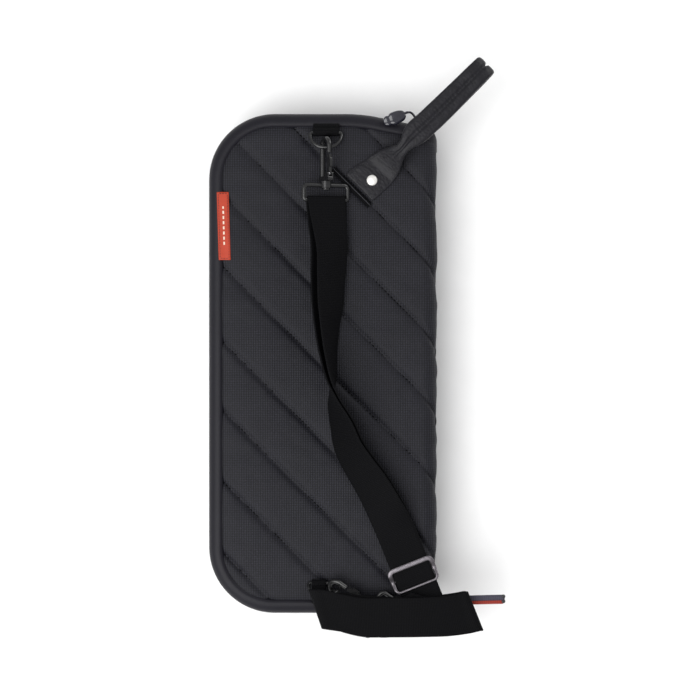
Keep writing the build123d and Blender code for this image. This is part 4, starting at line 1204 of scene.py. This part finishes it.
def triGlide():
    # one bent flat-wire frame and the bar across it that the end of the strap is sewn to
    across = np.array([-glideWay[1], glideWay[0], 0])
    down = np.array([glideWay[0], glideWay[1], 0])
    centre = np.array([*strap["glide"], 0])
    halfW, halfH = glide["width"] / 2, glide["pitch"]
    frameRoute, frameOut = roundedRoute([(0, halfH), (-halfW, halfH), (-halfW, -halfH), (halfW, -halfH),
                                         (halfW, halfH), (0, halfH)], [glide["cornerR"]] * 4, 0.8)
    frameRoute, frameOut = frameRoute[:-1], frameOut[:-1]
    # the frame arches over the webbing at its two long sides and dips at the middle bar
    rise = 75.0 - 3.6 * np.exp(-(frameRoute[:, 1] / 5.5) ** 2) * (abs(frameRoute[:, 0]) > halfW - 6)
    angle = np.linspace(0, 2 * math.pi, 16, endpoint=False)
    broad = np.interp(frameRoute[:, 1], [-halfH, -2, 2, halfH], [0.5, 0.7, 0.8, 1.0])
    flat = np.sign(np.cos(angle)) * abs(np.cos(angle)) ** 0.75 * glide["wire"][0] / 2
    up = np.sign(np.sin(angle)) * abs(np.sin(angle)) ** 0.75 * glide["wire"][1] / 2
    local = frameRoute[:, None] + frameOut[:, None] * (broad[:, None] * flat[None, :])[..., None]
    points = (centre + local[..., :1] * across - local[..., 1:] * down
              + np.array([0, 0, 1.0]) * (rise[:, None] + up[None, :])[..., None])
    uvs = np.zeros((len(frameRoute) + 1, 17, 2))
    rim = surface("glideFrame", points * mm, uvs, gunmetal, closeRows=True, closeCols=True)
    t = np.linspace(-halfW, halfW, 30)[:, None]
    bar = tube("glideBar", (centre + t * across + np.array([0, 0, glide["barZ"]])) * mm, 1.3 * mm,
               gunmetal)
    posts = []
    for side in (-1, 1):
        foot = centre + across * side * (halfW + 0.4)
        line = np.array([foot + np.array([0, 0, z]) for z in (68.6, 69.8, 71.0, 72.0)])
        posts.append(tube("glidePost", line * mm, 1.15 * mm, gunmetal))
    piece = joined("tri_glide_buckle", [rim, bar] + posts)
    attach(piece, "tri_glide")
    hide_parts("tri_glide")
    # the strap's sewn end, turned round the middle bar
    turn = np.radians(np.linspace(90, -90, 9))
    loop = [centre + down * (1.15 + 0.8) * math.cos(t) + np.array([0, 0, glide["barZ"] + 1.95 * math.sin(t)])
            for t in turn]
    loop = [centre - down * 7 + np.array([0, 0, glide["barZ"] - 0.1]),
            centre - down * 3 + np.array([0, 0, glide["barZ"] + 1.2])] + loop
    loop += [centre - down * 4 + np.array([0, 0, glide["barZ"] - 1.95]),
             centre - down * 9.5 + np.array([0, 0, glide["barZ"] - 1.95])]
    line = smoothStations(loop, 0.8) * mm
    end = ribbon("strap_sewn_end", line, np.tile(across, (len(line), 1)), 37 * mm, 1.5 * mm, webbing,
                 "tri_glide")
    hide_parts("strap_end_loop")


triGlide()

# ---- leather handle

handle = {"at": (48.5, 176.5)}
handleWay = np.array([1, 1, 0]) / math.sqrt(2)
handleSide = np.array([1, -1, 0]) / math.sqrt(2)
# the strip from the riveted tab, up the top leg, round the far end and back underneath:
# distance from the rivet, sideways shift, height, half width, half thickness, groove share, in mm
handleRun = [
    (-13.6, -4.0, 67.9, 18.4, 1.4, 0), (-6, -3.4, 68.0, 18.6, 1.5, 0), (2, -2.4, 68.0, 17.9, 1.5, 0),
    (8, -1.4, 68.0, 17.2, 1.4, 0), (12.5, -1.1, 68.1, 16.6, 1.2, 0), (17, -1.1, 69.4, 15.9, 1.4, 0),
    (23, -1.0, 72.4, 14.7, 1.9, 0.1), (29, -1.1, 76.0, 11.9, 2.9, 0.25), (35, -0.9, 79.6, 8.6, 4.0, 0.45),
    (41, -0.2, 82.4, 6.6, 4.9, 0.6), (47, -0.6, 84.4, 7.4, 5.0, 0.66), (54, -1.3, 86.0, 10.4, 4.5, 0.68),
    (62, -1.2, 87.2, 12.2, 4.0, 0.7), (74, -0.6, 87.7, 12.1, 3.9, 0.72), (95, 0, 87.8, 12.0, 3.8, 0.74),
    (122, 0, 87.8, 11.4, 3.8, 0.74), (145, 0, 87.6, 11.0, 3.8, 0.74), (151.2, 0, 85.4, 10.9, 3.8, 0.74),
    (153.2, 0, 79.7, 10.8, 3.8, 0.72), (151.2, 0, 74.0, 10.9, 3.8, 0.7), (145, 0, 71.7, 11.0, 3.8, 0.7),
    (122, 0, 71.65, 11.2, 3.8, 0.66), (95, -0.3, 71.65, 11.6, 3.8, 0.6), (80, -1.0, 71.6, 12.0, 3.6, 0.5),
    (68, -1.8, 71.4, 11.9, 3.4, 0.35), (60, -2.0, 71.2, 10.6, 3.1, 0.2), (52, -1.6, 70.9, 8.6, 2.7, 0.1),
    (44, -1.1, 70.6, 7.0, 2.3, 0.05), (36, -1.2, 70.2, 7.2, 1.9, 0.05), (26, -1.4, 69.9, 7.6, 1.5, 0),
    (17.5, -1.4, 69.8, 7.6, 1.0, 0)]


def leatherHandle():
    smooth = smoothStations(np.array(handleRun)[:, [0, 2, 2, 1, 3, 4, 5]] * np.array([1, 1, 0, 1, 1, 1, 1]),
                            1.6)
    s, z, l = smooth[:, 0], smooth[:, 1], smooth[:, 3]
    halfW, halfT, groove = (np.maximum(smooth[:, k], 0) for k in (4, 5, 6))
    line = (np.array([*handle["at"], 0]) + s[:, None] * handleWay + l[:, None] * handleSide
            + z[:, None] * np.array([0, 0, 1.0]))
    path = np.stack([s, z], axis=1)
    d = unit(np.gradient(path, axis=0))
    up = -d[:, 1:] * handleWay + d[:, :1] * np.array([0, 0, 1.0])
    angle = np.linspace(-math.pi / 2, 1.5 * math.pi, 56, endpoint=False)
    c, h = np.cos(angle), np.sin(angle)
    a = np.sign(c) * abs(c) ** 0.8 * halfW[:, None]
    # flat-topped oval that parts into two rounded lobes as the groove deepens
    share = abs(np.sign(c) * abs(c) ** 0.8)[None, :]
    oval = (1 - share**4) ** 0.25
    lobes = (1 - abs(2 * share - 1) ** 3.4) ** (1 / 3.4)
    b = np.sign(h) * halfT[:, None] * (oval * (1 - groove[:, None]) + lobes * groove[:, None])
    wobble = grainNoise(a + 0 * b, np.repeat(lengthAlong(line)[:, None], 56, axis=1), 9.0, 14.0, 61)
    b = b * (1 + 0.08 * wobble)
    points = line[:, None] + a[..., None] * handleSide + b[..., None] * up[:, None]
    girth = np.linspace(0, 1, 57) * 62.0
    uvs = np.stack(np.broadcast_arrays(girth[None, :], lengthAlong(line)[:, None]), axis=-1) * mm
    piece = surface("leather_handle", points * mm, uvs, leather, closeCols=True, capped=True)
    rivet = Vector((*handle["at"], 0)) * mm
    way = Vector(handleWay)
    fold = ("front_cover", "handle", rivet + way * 8 * mm, rivet + way * 17.5 * mm)
    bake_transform(piece)
    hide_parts("handle_tab", "handle_grip")
    grip = (s > 64) & (s < 146) & (z > 80)
    top = line[grip] + (halfT * (1 - groove))[grip][:, None] * up[grip]
    row = stitches("handle_groove_stitching", top * mm, up[grip], "handle", pitch=3.8, radius=0.34)
    rows = []
    for edgeShare in (-0.86, 0.86):
        tabPart = (s > -11) & (s < 30) & (np.arange(len(s)) < len(s) // 3)
        edge = (line + handleSide * (halfW * edgeShare)[:, None] + up * halfT[:, None])[tabPart]
        rows.append(stitches("tabRow", edge * mm, up[tabPart], "front_cover", pitch=3.4, radius=0.3,
                             blendTo=fold))
    sewn = joined("handle_tab_stitching", rows)
    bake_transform(sewn)


leatherHandle()


def rivetAndPatch():
    cap = [(0, 71.35), (1.6, 71.3), (3.1, 71.05), (4.3, 70.6), (5.0, 70.1), (5.25, 69.6), (5.1, 69.2),
           (4.2, 69.0), (2.2, 68.9), (2.2, 60.0), (0, 60.0)]
    centre = [c * mm for c in handle["at"]]
    piece = lathe("domed_rivet_cap", cap, centre, nickel)
    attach(piece, "front_cover")
    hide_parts("handle_rivet")
    low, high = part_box("rivet_burr")
    base, top = low.z / mm, high.z / mm
    washer = [(2.0, base), (5.4, base), (6.0, base + 0.35), (6.0, top - 0.25), (5.6, top), (2.0, top)]
    burr = lathe("rivet_washer", washer, centre, nickel)
    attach(burr, "front_cover")
    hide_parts("rivet_burr")
    # webbing strip sewn over the slit where the second leg passes into the cover
    middle = np.array([*handle["at"], 67.3]) + handleWay * -19.0
    across = np.linspace(-35, 16, 44)[:, None]
    line = middle + handleSide * across + np.array([0, 0, 0.3]) * np.cos(across / 9)
    strip = ribbon("handle_slit_patch", line * mm, np.tile(handleWay, (44, 1)), 5.0 * mm, 1.3 * mm,
                   webbing, "front_cover")
    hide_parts("handle_patch")
    # thin light thread along the slit's lip: partly real stitching, partly a painted highlight on the lip's
    # edge
    weltLine = line + handleWay * 0.6 + np.array([0, 0, 0.75])
    welt = tube("handle_slit_welt_and_highlight", weltLine * mm, 0.42 * mm, thread)
    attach(welt, "front_cover")


rivetAndPatch()
print("handle made")

# ---- zip pull and the zip's tail

pull = {"at": (70.4, 236.6, 68.2), "long": 11.4, "wide": 6.4, "thick": 3.3, "lean": 22}


def zipPull():
    along = np.array([math.cos(math.radians(pull["lean"])), math.sin(math.radians(pull["lean"])), 0])
    across = np.array([-along[1], along[0], 0])
    share = np.linspace(0, math.pi, 30)
    body = np.sin(share) ** 0.7 * (1 - 0.22 * np.exp(-((np.cos(share) - 0.45) / 0.13) ** 2))
    angle = np.linspace(0, 2 * math.pi, 28, endpoint=False)
    c, h = np.cos(angle), np.sin(angle)
    a = np.sign(c) * abs(c) ** 0.7 * pull["wide"]
    b = np.sign(h) * abs(h) ** 0.8 * pull["thick"]
    b = b * (1 - 0.3 * np.exp(-(c / 0.35) ** 2) * (h > 0))
    centre = np.array(pull["at"]) + np.outer(-np.cos(share) * pull["long"], along)
    points = (centre[:, None] + (body[:, None] * a)[..., None] * across
              + (body[:, None] * b)[..., None] * np.array([0, 0, 1.0]))
    uvs = np.zeros((30, 29, 2))
    lump = surface("pullLump", points * mm, uvs, softPvc, closeCols=True, capped=True)
    loop = smoothStations([(78.6, 240.0, 68.0), (81.6, 242.0, 68.2), (85.2, 242.6, 66.6),
                           (89.0, 240.4, 62.6), (91.0, 237.6, 58.6), (91.6, 236.6, 56.6)], 0.8)
    cord = tube("pullCord", loop * mm, 1.15 * mm, softPvc)
    piece = joined("moulded_zip_pull", [lump, cord])
    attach(piece, "zip_pull")
    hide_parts("pull_grip")


zipPull()


def zipTail():
    low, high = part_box("zip_tail")
    lowF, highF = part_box("zip_tail_facing")
    for name, node, box, material, slotName, wide in (
            ("zip_tail_tape", "zip_tail", (low, high), tailTape, "tail_tape", 5.6 * mm),
            ("zip_tail_orange", "zip_tail_facing", (lowF, highF), tailFacing, "label", 4.0 * mm)):
        x = np.linspace(box[0].x, box[1].x - (0 if node == "zip_tail" else 1.5 * mm), 60)
        climb = (x - x[0]) / (x[-1] - x[0])
        y = (box[0].y + box[1].y) / 2 + 2.2 * mm * (climb - 0.6)
        z = (box[0].z + box[1].z) / 2 + 0.25 * mm * np.sin(x / (9 * mm))
        line = np.stack([x, y, z], axis=-1)
        tape = ribbon(name, line, np.tile([0, 1.0, 0], (60, 1)), wide, 1.9 * mm, material,
                      "front_cover")
        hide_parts(node)
    ends = []
    for y in (-226.6, -231.4):
        x = np.linspace(174.0, 177.6, 12)
        size = 1.9 * mm * np.sqrt(np.clip(1 - ((x - 175.6) / 2.2) ** 2, 0.02, 1))
        ends.append(tube("nub", np.c_[x, x * 0 + y, x * 0 + 68.4] * mm, size, nylonCoil, 14))
    nubs = joined("zip_tail_ends", ends)
    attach(nubs, "front_cover")


zipTail()

# ---- CAD pieces that keep their shape

coat(blackEnamel, "hook_a", "hook_b", "hook_gate_a", "hook_gate_b", "hook_eye_a", "hook_eye_b",
     "top_ring", "bottom_ring", "zip_slider", "pull_wire")
coat(springSteel, "gate_spring_a", "gate_spring_b")
print("hardware finished")
